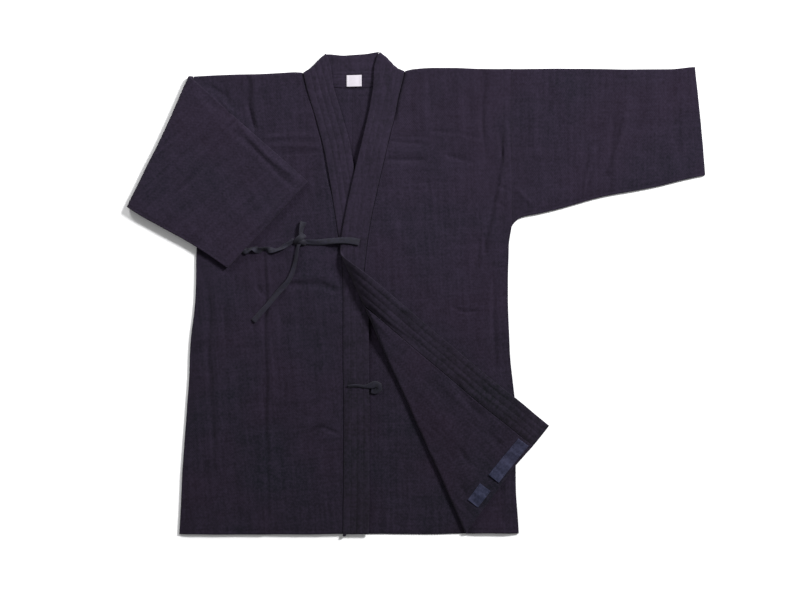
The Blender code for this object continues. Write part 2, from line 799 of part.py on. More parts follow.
def build_lapel_right():
    """Collar band down the right front. It lies under the left one."""
    neck = NECK_TURN_RIGHT
    above = neck.join(0.0, 9.5) + Vector((-2.0, -1.0))
    seam = joined([above], seam_edge("right", HEM, FINE), [Vector((-16.7, HEM + 3))])
    free = beside(seam, BAND_WIDTH)
    nub = [Vector((-16.7, HEM + 7)), Vector((-11.5, HEM + 7)), Vector((-10.5, HEM + 3))]
    across_foot = straight_run(((-10.5, HEM + 3), (free[-1].x, HEM)), 12.0)
    outline = joined(seam, nub, across_foot, free[-2::-1])
    outline = [p for p in outline if neck.split(p)[1] < neck_end()]
    outline = close_neck_end(neck, outline, seam, free)
    lines = band_lines(seam, 1) + neck.lines(-8.0, 60.0, 12.0, 5)
    place = place_band_front(neck, "right")
    wall("lapel_right", outline, place, -BAND_THICK / 2, BAND_THICK / 2, INDIGO_BAND,
         lines, relief=band_ribs(seam))


def neck_end():
    """How far past the neck's edge the flat band runs: round the turn and 2 mm more."""
    return math.pi * NECK_ROLL - (NECK_ROLL + BAND_THICK / 2) + 2.0


def close_neck_end(neck, outline, seam, free):
    """The band's outline, ended by a straight cut just past its turn at the neck."""
    first, last = line_meets(neck, seam), line_meets(neck, free)
    start = min(range(len(outline)), key=lambda index: (outline[index] - seam[1]).length)
    turned = outline[start:] + outline[:start]
    return joined([first], turned, straight_run((last, first), 12.0)[:-1])


def line_meets(neck, run):
    """Where a run of the band crosses its end cut."""
    for start, end in zip(run, run[1:]):
        here, there = neck.split(start)[1], neck.split(end)[1]
        if here > neck_end() >= there:
            return start.lerp(end, (here - neck_end()) / (here - there))
    return run[0]


def build_lapel_left():
    """Collar band down the left front. Its lower part is turned back with the flap."""
    neck = NECK_TURN_LEFT
    above = neck.join(57.5, 9.5) + Vector((2.0, -1.0))
    seam = joined([above], seam_edge("left", HEM, FINE))
    seam = [point for point in seam if point.y < 839.0] + [Vector((9.3, 839.0))]
    free = [beside(seam, -BAND_WIDTH - BAND_SPREAD * (1 - smooth(point.y / 90)))[index]
            for index, point in enumerate(seam)]
    outline = joined(seam, straight_run((seam[-1], (free[-1].x, 836.0)), 12.0), free[-2::-1])
    outline = [p for p in outline if neck.split(p)[1] < neck_end()]
    outline = close_neck_end(neck, outline, seam, free)
    lines = band_lines(seam, -1) + neck.lines(-8.0, 66.0, 12.0, 5)
    lines += FLAP.lines(FLAP_LENGTH - 85.0, FLAP_LENGTH + 12.0, 12.0, 7) + flap_crest_lines(12.0, 190.0, 14.0)
    place = place_band_front(neck, "left")
    wall("lapel_left", outline, place, -BAND_THICK / 2, BAND_THICK / 2, INDIGO_BAND,
         lines, relief=band_ribs(seam))


def build_collar_back():
    """Collar band round the back neck, its inner face up, between its two turns."""
    inset = 2 * (NECK_ROLL + BAND_THICK / 2) - math.pi * NECK_ROLL + neck_end() + SEAM_GAP
    right, left = NECK_TURN_RIGHT, NECK_TURN_LEFT
    top = ((-43.8, -20.1), (-48.6, -24.2), (0.0, -27.6), (50.4, -30.6), (45.0, -27.0))
    neck = back_neck("right", FINE) + back_neck("left", FINE)[::-1]
    neck = [p for p in moved(neck, 0.0, 0.6) if min(-right.split(p)[1], -left.split(p)[1]) > inset]
    outline = joined(straight_run(top, 14.0), [left.join(50.0, -inset)], neck[::-1], [right.join(6.0, -inset)])
    middle = straight_run(((-40.0, 14.0), (45.0, 12.0)), 14.0)
    rows = [beside(middle, off) for off in (-12.0, -6.5, 0.0, 6.0, 12.0, 24.0)]
    flat = lambda spot, off: Vector((spot.x, spot.y, BAND_BACK + off))
    rib = lambda spot: RIB * 0.7 * math.sin(math.pi * (spot.y + 0.5) / 12.5) ** 2
    wall("collar_back", outline, flat, -BAND_THICK / 2, BAND_THICK / 2, INDIGO_BAND, rows, relief=rib)


def build_label():
    """White woven label inside the back neck."""
    low = BAND_THICK + RIB + SEAM_GAP
    outline = straight_run(((-11.0, 9.5), (18.5, 9.0), (18.5, 31.5), (-11.0, 32.0)), 40.0)
    flat = lambda spot, off: Vector((spot.x, spot.y, low + off))
    wall("label", outline, flat, 0.0, LABEL_THICK, LABEL_WHITE)


def build_hem_tapes():
    """Two short tapes sewn to the inside of the left front's hem, on the turned corner."""
    Tape = namedtuple("Tape", "name across down to_across to_down width")
    tapes = (
        Tape("hem_tape_long", 303.0, 679.0, 252.0, 747.0, 24.0),
        Tape("hem_tape_short", 238.0, 766.0, 218.0, 793.0, 22.0),
    )
    for tape in tapes:
        spine = straight_run(((tape.across, tape.down), (tape.to_across, tape.to_down)), 22.0)
        edges = joined(beside(spine, tape.width / 2), beside(spine, -tape.width / 2)[::-1])
        outline = [SHOULDER_LEFT.open(FLAP.open(point)) for point in edges]
        middle = [SHOULDER_LEFT.open(FLAP.open(point)) for point in spine]
        low = CLOTH / 2 + 0.5
        wall(tape.name, outline, place_left_body, low, low + LABEL_THICK, TAPE_BLUE, [middle])


def build_ties():
    """The chest ties are knotted together, and an inner tie hangs curled from the right band."""
    routes = (
        ("chest_tie_left", CHEST_TIE_LEFT),
        ("chest_tie_tail", CHEST_TIE_TAIL),
        ("chest_tie_ear", CHEST_TIE_EAR),
        ("chest_tie_right", CHEST_TIE_RIGHT),
        ("inner_tie", INNER_TIE),
    )
    for name, route in routes:
        ribbon(name, route, TIE_WIDTH, TIE_THICK, TIE_BLUE)
    knot("chest_knot", -94.5, 313.5, 5.9, (18.5, 20.0, 9.5), TIE_BLUE)
    knot("inner_tie_knot", 41.5, 586.0, 2.4, (17.0, 17.0, 12.0), TIE_BLUE)


for leftover in list(bpy.data.objects):
    bpy.data.objects.remove(leftover, do_unlink=True)

build_body_right()
build_body_left()
build_sleeve_right()
build_sleeve_left()
build_lapel_right()
build_lapel_left()
build_collar_back()
build_label()
build_hem_tapes()
build_ties()
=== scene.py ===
"""A kendo practice jacket in indigo cotton, laid flat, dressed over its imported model.

Sizes are in millimetres. A place is (across, down): across from the centre back towards the
wearer's left, down from the shoulders towards the hem. Heights are above what the jacket lies on.
A piece is drawn opened out flat, and its folds are then closed over the lines that show.
"""

import math
from collections import namedtuple

import bmesh
import bpy
import numpy as np
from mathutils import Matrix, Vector
from mathutils.geometry import delaunay_2d_cdt
from mathutils.kdtree import KDTree

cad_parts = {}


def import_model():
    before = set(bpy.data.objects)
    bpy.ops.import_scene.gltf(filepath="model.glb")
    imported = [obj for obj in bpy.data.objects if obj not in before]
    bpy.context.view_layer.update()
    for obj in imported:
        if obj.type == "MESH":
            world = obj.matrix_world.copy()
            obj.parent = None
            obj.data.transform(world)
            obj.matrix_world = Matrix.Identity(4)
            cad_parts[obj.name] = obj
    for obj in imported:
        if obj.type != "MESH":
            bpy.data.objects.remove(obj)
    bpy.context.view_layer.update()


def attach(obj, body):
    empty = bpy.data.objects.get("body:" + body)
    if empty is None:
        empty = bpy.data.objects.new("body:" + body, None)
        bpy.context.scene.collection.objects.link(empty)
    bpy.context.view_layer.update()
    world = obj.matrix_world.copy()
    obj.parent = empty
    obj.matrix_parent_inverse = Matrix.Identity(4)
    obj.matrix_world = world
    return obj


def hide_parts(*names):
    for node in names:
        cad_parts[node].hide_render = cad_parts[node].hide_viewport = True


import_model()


# Right front and back
# One panel of heavy single-layer cotton, rice-grain woven and piece-dyed with indigo, cut in one
# over the shoulder. Its hem and slit are turned twice and topstitched.

CLOTH = 2.0
SEAM_GAP = 0.3
SEWN_IN = 0.5
RIM = 0.9
RIM_TURNS = (35, 65, 90, 115, 145)
# Heights of the middle of the cloth: the back's, the front's over it, and the front's at its side seam
BACK = CLOTH / 2
FRONT = 4.3
SIDE_SEAM = BACK + CLOTH + SEAM_GAP
SHOULDER_ROLL = 2.0
ARMHOLE = 294.0
ARMPIT = 284.0
HEM = 857.0
# How deep a crease is, how far the layer below lets a trough sink, and the air between the two
CREASE_DEPTH = 2.6
BED = 2.0
AIR = 0.9
# The place that lies on the frame's origin
CENTRE_ACROSS = 118.2
CENTRE_DOWN = 416.2
NECK_RIGHT = (-91.0, 4.0)
NECK_LEFT = (98.0, 4.0)
NECK_CLEAR = 2.6
BACK_NECK = 33.0
SLIT_TOP = 746.0

EDGE_STEP = 3.6
FRONT_MESH = 4.0
BACK_MESH = 15.0

# Rows of stitching, by their distance from an edge, and the stitches in them
HEM_ROW = 6.5
HEM_TURNED = 11.0
SLIT_ROW = 9.0
ARMHOLE_ROW = 14.5
TURNED_EDGE = 0.3
ROW_DIP = 0.42
ROW_WIDTH = 3.4
STITCH_PITCH = 4.2
STITCH_LENGTH = 3.1
THREAD = 0.75

Station = namedtuple("Station", "down right left")
SIDES = (
    Station(284, 294.0, 294.0),
    Station(314, 289.0, 290.5),
    Station(333, 287.0, 290.0),
    Station(425, 290.5, 289.5),
    Station(509, 300.0, 292.0),
    Station(596, 305.0, 296.5),
    Station(746, 314.5, 301.0),
    Station(857, 320.0, 308.0),
)
BAND_SEAMS = (
    Station(4, 91.0, 98.0),
    Station(53, 78.0, 86.0),
    Station(99, 64.0, 75.5),
    Station(163, 48.0, 60.0),
    Station(237, 36.0, 42.5),
    Station(298, 26.0, 31.0),
    Station(348, 18.0, 25.0),
    Station(425, 16.7, 19.0),
    Station(600, 16.7, 15.5),
    Station(857, 16.7, 9.0),
)

# A crease's ridge or trough, its width and rise, and how far its top leans to one side
Crease = namedtuple("Crease", "across down to_across to_down width rise lean")
CREASES_RIGHT = (
    Crease(-193, 14, -190, 60, 12, -1.6, 0.2),
    Crease(-190, 60, -181, 108, 12, -1.7, 0.2),
    Crease(-181, 12, -178, 60, 18, 1.3, -0.4),
    Crease(-178, 60, -169, 106, 18, 1.3, -0.4),
    Crease(-88, 10, -60, 112, 8, -1.0, 0.0),
    Crease(-60, 112, -38, 224, 8, -1.0, 0.0),
    Crease(-298, 20, -216, 90, 26, 0.8, 0.0),
    Crease(-262, 30, -232, 52, 12, -0.9, 0.0),
    Crease(-250, 46, -222, 84, 12, 0.7, 0.0),
    Crease(-240, 22, -226, 60, 12, -0.7, 0.0),
    Crease(-158, 126, -72, 124, 12, 0.9, 0.3),
    Crease(-150, 143, -62, 140, 10, 0.8, 0.0),
    Crease(-140, 156, -60, 152, 9, -0.8, 0.0),
    Crease(-120, 82, -84, 80, 10, 0.35, 0.0),
    Crease(-124, 402, -58, 397, 20, -1.3, 0.2),
    Crease(-58, 397, -28, 408, 17, -1.3, 0.2),
    Crease(-122, 386, -36, 381, 14, 0.5, -0.2),
    Crease(-178, 396, -160, 424, 9, -1.2, 0.0),
    Crease(-160, 424, -163, 470, 9, -0.9, 0.0),
    Crease(-161, 345, -162, 560, 10, -1.2, 0.3),
    Crease(-162, 560, -158, 840, 10, -1.1, 0.3),
    Crease(-152, 330, -151, 700, 16, 0.8, -0.3),
    Crease(-266, 394, -266, 600, 14, -1.2, 0.0),
    Crease(-266, 600, -252, 700, 16, -0.8, 0.0),
    Crease(-250, 400, -250, 690, 20, 0.5, 0.0),
    Crease(-246, 640, -262, 840, 30, 0.4, 0.0),
    Crease(-81, 672, -56, 660, 10, -1.4, 0.0),
    Crease(-56, 660, -26, 672, 10, -1.4, 0.0),
    Crease(-110, 500, -104, 830, 40, 0.35, 0.0),
    Crease(-214, 420, -220, 830, 46, -0.3, 0.0),
    Crease(-60, 420, -58, 850, 26, 0.3, 0.0),
    Crease(-130, 470, -40, 478, 26, -0.3, 0.0),
    Crease(-224, 520, -168, 512, 16, -0.4, 0.0),
    Crease(-140, 610, -70, 600, 22, 0.3, 0.0),
)


def smooth(part):
    """0 to 1 with a soft start and end, and level outside them."""
    part = np.clip(part, 0.0, 1.0)
    return part * part * (3 - 2 * part)


def measure(table, down, column):
    """A distance from a table of stations, at any place down the jacket."""
    return np.interp(down, [row.down for row in table], [getattr(row, column) for row in table])


def curve_through(points, step):
    """Points about step apart on a smooth curve through the given ones."""
    points = np.array(points, float)
    ends = np.vstack((2 * points[0] - points[1], points, 2 * points[-1] - points[-2]))
    run = [points[:1]]
    for before, start, end, after in zip(ends, ends[1:], ends[2:], ends[3:]):
        count = max(1, round(np.linalg.norm(end - start) / step))
        t = (np.arange(1, count + 1) / count)[:, None]
        pull = (end - before) * t * (1 - t) ** 2 - (after - start) * t * t * (1 - t)
        run.append(start + (end - start) * smooth(t) + pull / 2)
    return np.vstack(run)


def straight_through(points, step):
    """Points about step apart on straight lines through the given ones."""
    points = np.array(points, float)
    run = [points[:1]]
    for start, end in zip(points, points[1:]):
        count = max(1, round(np.linalg.norm(end - start) / step))
        run.append(start + (end - start) * (np.arange(1, count + 1) / count)[:, None])
    return np.vstack(run)


def ways(run):
    """The unit direction of a run at each of its points."""
    ahead = np.vstack((run[1:], run[-1:])) - np.vstack((run[:1], run[:-1]))
    return ahead / np.linalg.norm(ahead, axis=1)[:, None]


def beside(run, distance):
    """The run moved sideways, to the left of the way that it goes as seen on the jacket."""
    way = ways(run)
    return run + np.stack((way[:, 1], -way[:, 0]), 1) * np.reshape(distance, (-1, 1))


SAME_PLACE = 0.4


def joined(*runs):
    """Runs of points end to end, without the ones that repeat."""
    points = np.vstack(runs)
    kept = [points[0]]
    for point in points[1:]:
        if np.hypot(*(point - kept[-1])) > SAME_PLACE:
            kept.append(point)
    if np.hypot(*(kept[0] - kept[-1])) <= SAME_PLACE:
        kept.pop()
    return np.array(kept)


def distance_to(run, places):
    """How far each place is from a run of points."""
    nearest = np.full(len(places), 1e9)
    for start, end in zip(run, run[1:]):
        step = end - start
        share = np.clip((places - start) @ step / (step @ step), 0.0, 1.0)
        gap = places - start - share[:, None] * step
        nearest = np.minimum(nearest, gap[:, 0] ** 2 + gap[:, 1] ** 2)
    return np.sqrt(nearest)


def is_inside(outline, places):
    """Whether each place is inside a closed outline."""
    found = np.zeros(len(places), bool)
    for start, end in zip(outline, np.roll(outline, -1, axis=0)):
        if start[1] != end[1]:
            between = (start[1] > places[:, 1]) != (end[1] > places[:, 1])
            crossing = start[0] + (places[:, 1] - start[1]) * (end[0] - start[0]) / (end[1] - start[1])
            found ^= between & (places[:, 0] < crossing)
    return found


# Waves are drawn on two square lattices turned apart, in radians, so that no rows of them show
WAVE_TURNS = (0.5, 2.1)
WAVE_CELLS = 97
WAVE_NEXT = 50
WAVE_START = 300.0
WAVE_SPAN = 1.4


def unevenness(places, size, seed):
    """Soft waves about size wide, as cloth has that was folded and worn, from -1 to 1."""
    total = np.zeros(len(places))
    for turn in WAVE_TURNS:
        lattice = np.random.default_rng(seed).uniform(-1, 1, (WAVE_CELLS, WAVE_CELLS))
        seed += WAVE_NEXT
        spin = np.array(((math.cos(turn), -math.sin(turn)), (math.sin(turn), math.cos(turn))))
        spot = places @ spin / size + WAVE_START
        cell = np.floor(spot).astype(int)
        across, down = smooth(spot - cell).T
        (left, top), (right, foot) = (cell % WAVE_CELLS).T, ((cell + 1) % WAVE_CELLS).T
        near = lattice[left, top] * (1 - across) + lattice[right, top] * across
        far = lattice[left, foot] * (1 - across) + lattice[right, foot] * across
        total += near * (1 - down) + far * down
    return total / WAVE_SPAN


def slack(places, seed):
    """The small ups and downs of the cloth where it lies on cloth."""
    broad = 0.75 * unevenness(places, 105.0, seed) + 0.60 * unevenness(places, 44.0, seed + 1)
    return AIR + broad + 0.26 * unevenness(places, 17.0, seed + 2)


def bedded(rise):
    """A rise whose troughs level out where the cloth meets the layer under it."""
    return np.where(rise < 0, BED * np.tanh(rise / BED), rise)


def crease_rise(creases, places):
    """How far the creases lift or sink the cloth at each place."""
    total = np.zeros(len(places))
    for number, crease in enumerate(creases):
        start = np.array((crease.across, crease.down), float)
        run = np.array((crease.to_across, crease.to_down), float) - start
        length = np.hypot(*run)
        share = (places - start) @ run / length ** 2
        wander = 0.14 * crease.width * np.sin(share * length / 23.0 + 2.1 * number)
        off = (places - start) @ np.array((run[1], -run[0])) / length + wander
        off = off / (crease.width / 2) - crease.lean
        off = off / np.where(off < 0, 1 + crease.lean, 1 - crease.lean)
        ends = smooth((share + 0.15) / 0.3) * smooth((1.15 - share) / 0.3)
        height = CREASE_DEPTH * crease.rise * (0.85 + 0.15 * np.sin(share * length / 37.0 + number))
        total += np.where(np.abs(off) < 1, height * (1 - off * off) ** 2 * ends, 0.0)
    return total


class Fold:
    """Cloth turned through half a circle, over a line that is the edge that shows."""

    def __init__(self, start, end, middle, half, roll, down=False):
        self.start = np.array(start, float)
        way = np.array(end, float) - self.start
        self.length = np.hypot(*way)
        self.way = way / self.length
        self.out = np.array((self.way[1], -self.way[0]))
        self.middle = middle
        self.roll = roll
        self.inset = roll + half
        self.arc = math.pi * roll
        self.axis = middle - roll if down else middle + roll

    def split(self, places):
        """Along the line, and beyond it."""
        offset = places[:, :2] - self.start
        return offset @ self.way, offset @ self.out

    def join(self, along, beyond):
        """The place that is so far along the line and beyond it."""
        along, beyond = np.broadcast_arrays(along, beyond)
        return self.start + along[..., None] * self.way + beyond[..., None] * self.out

    def turned(self, places):
        """From 0 before the turn to 1 after it."""
        return np.clip((self.split(places)[1] + self.inset) / self.arc, 0.0, 1.0)

    def close(self, points):
        """Points of the flat cloth, where the turn takes them."""
        along, beyond = self.split(points)
        past = np.maximum(beyond + self.inset, 0.0)
        angle = math.pi * np.minimum(past / self.arc, 1.0)
        arm = self.axis - points[:, 2]
        outward = np.abs(arm) * np.sin(angle) - np.maximum(past - self.arc, 0.0)
        turned = np.column_stack((self.join(along, outward - self.inset), self.axis - arm * np.cos(angle)))
        return np.where((past > 0)[:, None], turned, points)

    def open(self, places):
        """Places seen on the layer past the turn, where they are on the flat cloth."""
        along, beyond = self.split(places)
        return self.join(along, self.arc - 2 * self.inset - beyond)

    def lines(self, first, last, step=EDGE_STEP, count=8):
        """Lines along the turn on the flat cloth, evenly round it."""
        along = np.linspace(first, last, max(2, round((last - first) / step) + 1))
        return [self.join(along, self.arc * index / count - self.inset) for index in range(count + 1)]


# Where the hands that laid it out drew the cloth aside: a place, how far round it, and which way
Pull = namedtuple("Pull", "across down reach by_across by_down")
PULLS = (
    Pull(148, 2, 130, 0.0, -6.0),
    Pull(-46, -30, 34, -0.5, -4.6),
    Pull(-80, 2, 30, 2.0, 2.6),
    Pull(50, -32, 30, 0.0, -2.4),
    Pull(85, -4, 30, -2.0, 4.8),
    Pull(338, 266, 150, 2.5, 10.5),
    Pull(640, 196, 90, 0.0, -3.0),
    Pull(632, 0, 44, 0.0, -3.6),
    Pull(296, 430, 260, -1.8, 0.0),
    Pull(352, 655, 150, 6.5, 1.0),
    Pull(-352, 106, 160, 3.6, 0.0),
    Pull(-304, 640, 420, 2.2, 0.0),
    Pull(-240, 862, 280, 0.0, 2.2),
    Pull(120, 862, 130, 0.0, 1.4),
)


def world(points):
    """Garment millimetres to the frame's metres, the cloth a little out of true as laid by hand."""
    lies = points[:, :2]
    sway = [1.0 * unevenness(lies, 110.0, seed) + 0.5 * unevenness(lies, 38.0, seed + 1) for seed in (71, 81)]
    for pull in PULLS:
        near = smooth(1 - np.hypot(lies[:, 0] - pull.across, lies[:, 1] - pull.down) / pull.reach)
        sway[0] += near * pull.by_across
        sway[1] += near * pull.by_down
    across = points[:, 0] + sway[0] - CENTRE_ACROSS
    return np.column_stack((across, CENTRE_DOWN - points[:, 1] - sway[1], points[:, 2])) / 1000


def grid(outline, spacing, wanted=None):
    """Points in staggered rows that fill an outline, or its wanted part, and how far apart they are."""
    low, high = outline.min(axis=0), outline.max(axis=0)
    rise = spacing * math.sqrt(3) / 2
    rows = np.arange(int((high[1] - low[1]) / rise) + 1)
    columns = np.arange(int((high[0] - low[0]) / spacing) + 2)
    column, row = np.meshgrid(columns, rows)
    across = low[0] + spacing * (column + (row % 2) / 2)
    places = np.column_stack((across.ravel(), (low[1] + rise * row).ravel()))
    places = places[is_inside(outline, places)]
    return (places[wanted(places)] if wanted else places), spacing


def layers(outline, fold):
    """A close fill for the layer past a fold, which shows, and a wide one for the layer before it."""
    return (grid(outline, FRONT_MESH, lambda spot: fold.turned(spot) == 1.0),
            grid(outline, BACK_MESH, lambda spot: fold.turned(spot) == 0.0))


def held_lines(outline, lines):
    """Lines cut to an outline, with one point past it at each end, as points and the edges between."""
    closed = np.vstack((outline, outline[:1]))
    points, edges = [], []
    for line in lines:
        line = line[distance_to(closed, line) > 0.9]
        if len(line) < 2:
            continue
        inside = is_inside(outline, line)
        near = inside.copy()
        near[1:] |= inside[:-1]
        near[:-1] |= inside[1:]
        for index, point in enumerate(line):
            if near[index]:
                points.append(point)
                if index and near[index - 1]:
                    edges.append((len(points) - 2, len(points) - 1))
    return np.array(points).reshape(-1, 2), edges


def make_piece(name, material, points, faces, cut=None):
    """A smooth-shaded mesh that rides on the jacket. cut is each point's place on the flat cloth."""
    data = bpy.data.meshes.new(name)
    data.from_pydata(world(points).tolist(), [], faces)
    data.polygons.foreach_set("use_smooth", np.ones(len(data.polygons), bool))
    data.materials.append(material)
    if cut is not None:
        layer = data.attributes.new("cut", "FLOAT_VECTOR", "POINT")
        layer.data.foreach_set("vector", (cut / 1000).astype(np.float32).ravel())
    piece = bpy.data.objects.new(name, data)
    bpy.context.scene.collection.objects.link(piece)
    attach(piece, "root")
    return piece


def cloth(name, material, outline, place, half, fill, lines=(), over_rise=None, under_rise=None):
    """A shell of cloth round an outline, with rounded edges. The two rises raise its two faces."""
    if turning(outline) < 0:
        outline = outline[::-1]
    edge = outline - outward(outline) * RIM
    held, held_edges = held_lines(edge, lines)
    given = np.vstack((edge, held)) if len(held) else edge
    tree = KDTree(len(given))
    for index, point in enumerate(given):
        tree.insert((*point, 0.0), index)
    tree.balance()
    spare = []
    for points, spacing in fill:
        clear = [tree.find((*point, 0.0))[2] > 0.5 * spacing for point in points]
        spare.append(points[clear])
    start = len(edge)
    made = delaunay_2d_cdt(
        [Vector(point) for point in np.vstack((given, *spare))],
        [(a + start, b + start) for a, b in held_edges], [list(range(len(edge)))], 1, 1e-5)
    flat = np.array([tuple(point) for point in made[0]])
    triangles = np.array([face for face, owners in zip(made[2], made[5]) if owners])
    used, triangles = np.unique(triangles, return_inverse=True)
    flat, triangles = flat[used], triangles.reshape(-1, 3)
    loop = np.array(boundary(triangles))
    rim_way = outward(flat[loop])
    rim_way = rim_way if turning(flat[loop]) > 0 else -rim_way
    over = half + (over_rise(flat) if over_rise else np.zeros(len(flat)))
    under = half + (under_rise(flat) if under_rise else np.zeros(len(flat)))
    rings_flat, rings_off = [], []
    for degrees in RIM_TURNS:
        angle = math.radians(degrees)
        reach = math.cos(angle)
        rings_flat.append(flat[loop] + rim_way * RIM * math.sin(angle))
        rings_off.append(np.where(reach > 0, over[loop], under[loop]) * reach)
    places = np.vstack((flat, flat, *rings_flat))
    offsets = np.concatenate((over, -under, *rings_off))
    points = place(places, offsets)
    count = len(flat)
    shell = [triangles, triangles[:, ::-1] + count]
    first = 2 * count + np.arange(len(loop))
    rings = [loop, *(first + number * len(loop) for number in range(len(RIM_TURNS))), loop + count]
    for ring, after in zip(rings, rings[1:]):
        shell.append(np.column_stack((np.roll(ring, -1), ring, after)))
        shell.append(np.column_stack((np.roll(ring, -1), after, np.roll(after, -1))))
    shell = np.vstack(shell)
    corners = world(points)[shell]
    if np.sum(np.cross(corners[:, 0], corners[:, 1]) * corners[:, 2]) < 0:
        shell = shell[:, ::-1]
    return make_piece(name, material, points, shell.tolist(), np.column_stack((places, offsets)))


def turning(loop):
    """Twice the area in a closed loop, negative where the loop runs the other way round."""
    after = np.roll(loop, -1, axis=0)
    return np.sum(loop[:, 0] * after[:, 1] - loop[:, 1] * after[:, 0])


def outward(loop):
    """Unit directions out of a closed loop that runs with its inside on the left in (x, y)."""
    before, after = np.roll(loop, 1, axis=0), np.roll(loop, -1, axis=0)
    into, on = loop - before, after - loop
    into /= np.linalg.norm(into, axis=1)[:, None]
    on /= np.linalg.norm(on, axis=1)[:, None]
    way = np.column_stack((into[:, 1] + on[:, 1], -into[:, 0] - on[:, 0]))
    size = np.linalg.norm(way, axis=1)[:, None]
    return way / np.maximum(size, 1e-6) / np.maximum(size / 2, 0.6)


def boundary(triangles):
    """The points round the edge of a sheet of triangles, in order."""
    edges = np.vstack((triangles[:, :2], triangles[:, 1:], triangles[:, [2, 0]]))
    known = {(a, b) for a, b in edges.tolist()}
    after = {a: b for a, b in known if (b, a) not in known}
    start = next(iter(after))
    loop = [start]
    while after[loop[-1]] != start:
        loop.append(after[loop[-1]])
    return loop


def row_lines(rows):
    """Lines on each row of stitching and on both sides of its dip."""
    return [line for run in rows for line in (beside(run, -ROW_WIDTH / 2), run, beside(run, ROW_WIDTH / 2))]


def row_dip(rows, places):
    """The cloth drawn down along its rows of stitching."""
    total = np.zeros(len(places))
    for run in rows:
        off = distance_to(run, places) / (ROW_WIDTH / 2)
        total = np.minimum(total, np.where(off < 1, -ROW_DIP * (1 - off) * (1 + 0.3 * off), 0.0))
    return total


def edge_rise(edges, reach, places):
    """The double thickness along an edge that is turned in."""
    total = np.zeros(len(places))
    for run in edges:
        total = np.maximum(total, TURNED_EDGE * (1 - smooth((distance_to(run, places) - reach + 2) / 4)))
    return total


def stitches(name, rows, place, offset):
    """Thread on the face of the cloth: one small spindle for each stitch of each row."""
    starts, ends = [], []
    for run in rows:
        steps = np.linalg.norm(run[1:] - run[:-1], axis=1)
        length = np.concatenate(((0.0,), np.cumsum(steps)))
        firsts = np.arange(1.0, length[-1] - STITCH_LENGTH - 1.0, STITCH_PITCH)
        for way, found in ((0.0, starts), (STITCH_LENGTH, ends)):
            found.append(np.column_stack([np.interp(firsts + way, length, run[:, axis]) for axis in (0, 1)]))
    starts, ends = np.vstack(starts), np.vstack(ends)
    way = (ends - starts) / np.linalg.norm(ends - starts, axis=1)[:, None]
    side = np.column_stack((way[:, 1], -way[:, 0])) * THREAD / 2
    middle = (starts + ends) / 2
    up = math.copysign(1.0, offset)
    corners = ((starts, -0.15), (ends, -0.15), (middle + side, 0.1), (middle, THREAD * 0.55),
               (middle - side, 0.1), (middle, -THREAD * 0.4))
    points = np.concatenate([place(spot, np.full(len(spot), offset + up * rise)) for spot, rise in corners])
    count = len(starts)
    shell = ((0, 2, 3), (0, 3, 4), (0, 4, 5), (0, 5, 2), (1, 3, 2), (1, 4, 3), (1, 5, 4), (1, 2, 5))
    faces = [(a * count + n, b * count + n, c * count + n) for n in range(count) for a, b, c in shell]
    piece = make_piece(name, sewing_thread(), points, faces)
    return piece


def linear(hex_colour):
    """An sRGB hex colour as linear red, green, blue and alpha."""
    parts = [int(hex_colour[index:index + 2], 16) / 255 for index in (1, 3, 5)]
    return (*[part / 12.92 if part <= 0.04045 else ((part + 0.055) / 1.055) ** 2.4 for part in parts], 1.0)


def add_node(material, kind, links=(), **settings):
    """One shader node. settings are its properties or, where it has none of that name, its inputs,
    and tones are the colours of a ramp."""
    node = material.node_tree.nodes.new(kind)
    for key, value in settings.items():
        if key == "tones":
            for element, tone in zip(node.color_ramp.elements, value):
                element.color = linear(tone)
        elif hasattr(node, key):
            setattr(node, key, value)
        else:
            socket = int(key[3:]) if key.startswith("in_") else key.replace("_", " ")
            node.inputs[socket].default_value = value
    for socket, source in links:
        material.node_tree.links.new(source, node.inputs[socket])
    return node


def new_material(name, roughness, sheen=0.0, specular=0.25):
    """A material with its Principled shader, set for a matt fibre."""
    material = bpy.data.materials.new(name)
    material.use_nodes = True
    shader = material.node_tree.nodes["Principled BSDF"]
    shader.inputs["Roughness"].default_value = roughness
    shader.inputs["IOR"].default_value = 1.5
    shader.inputs["Specular IOR Level"].default_value = specular
    shader.inputs["Sheen Weight"].default_value = sheen
    shader.inputs["Sheen Roughness"].default_value = 0.6
    return material, shader


def once(make):
    """A material that is made the first time and then shared."""
    kept = []

    def shared():
        if not kept:
            kept.append(make())
        return kept[0]

    return shared


INDIGO_BLUE = "#0f0f17"
INDIGO_PLUM = "#17101b"
# The worn tone, which is also the tone of the painted light near the shoulders
INDIGO_WORN_AND_PAINTED_LIGHT = "#282130"
GRAIN_ACROSS = 3.6
GRAIN_DOWN = 5.0
DYE_PATCH = 170.0
MOTTLE = 26.0
STREAK = 6.5
FLECK = 4.0
THREAD_SWAY = 9.0
THREAD_SWAYS_BY = 1.6
SLUBS_UP = 0.6
MOTTLE_SHOWS = 0.5
STREAKS_SHOW = 0.65
BLUE_TO = 0.36
PLUM_FROM = 0.62
# Painted light: the colour is drawn lighter near the top of the cut, fading out further down, in place of
# light falling off down the jacket
PAINTED_LIGHT_FROM = 150.0
PAINTED_LIGHT_OVER = 800.0
TOP_LIGHT_PAINTED = 0.30


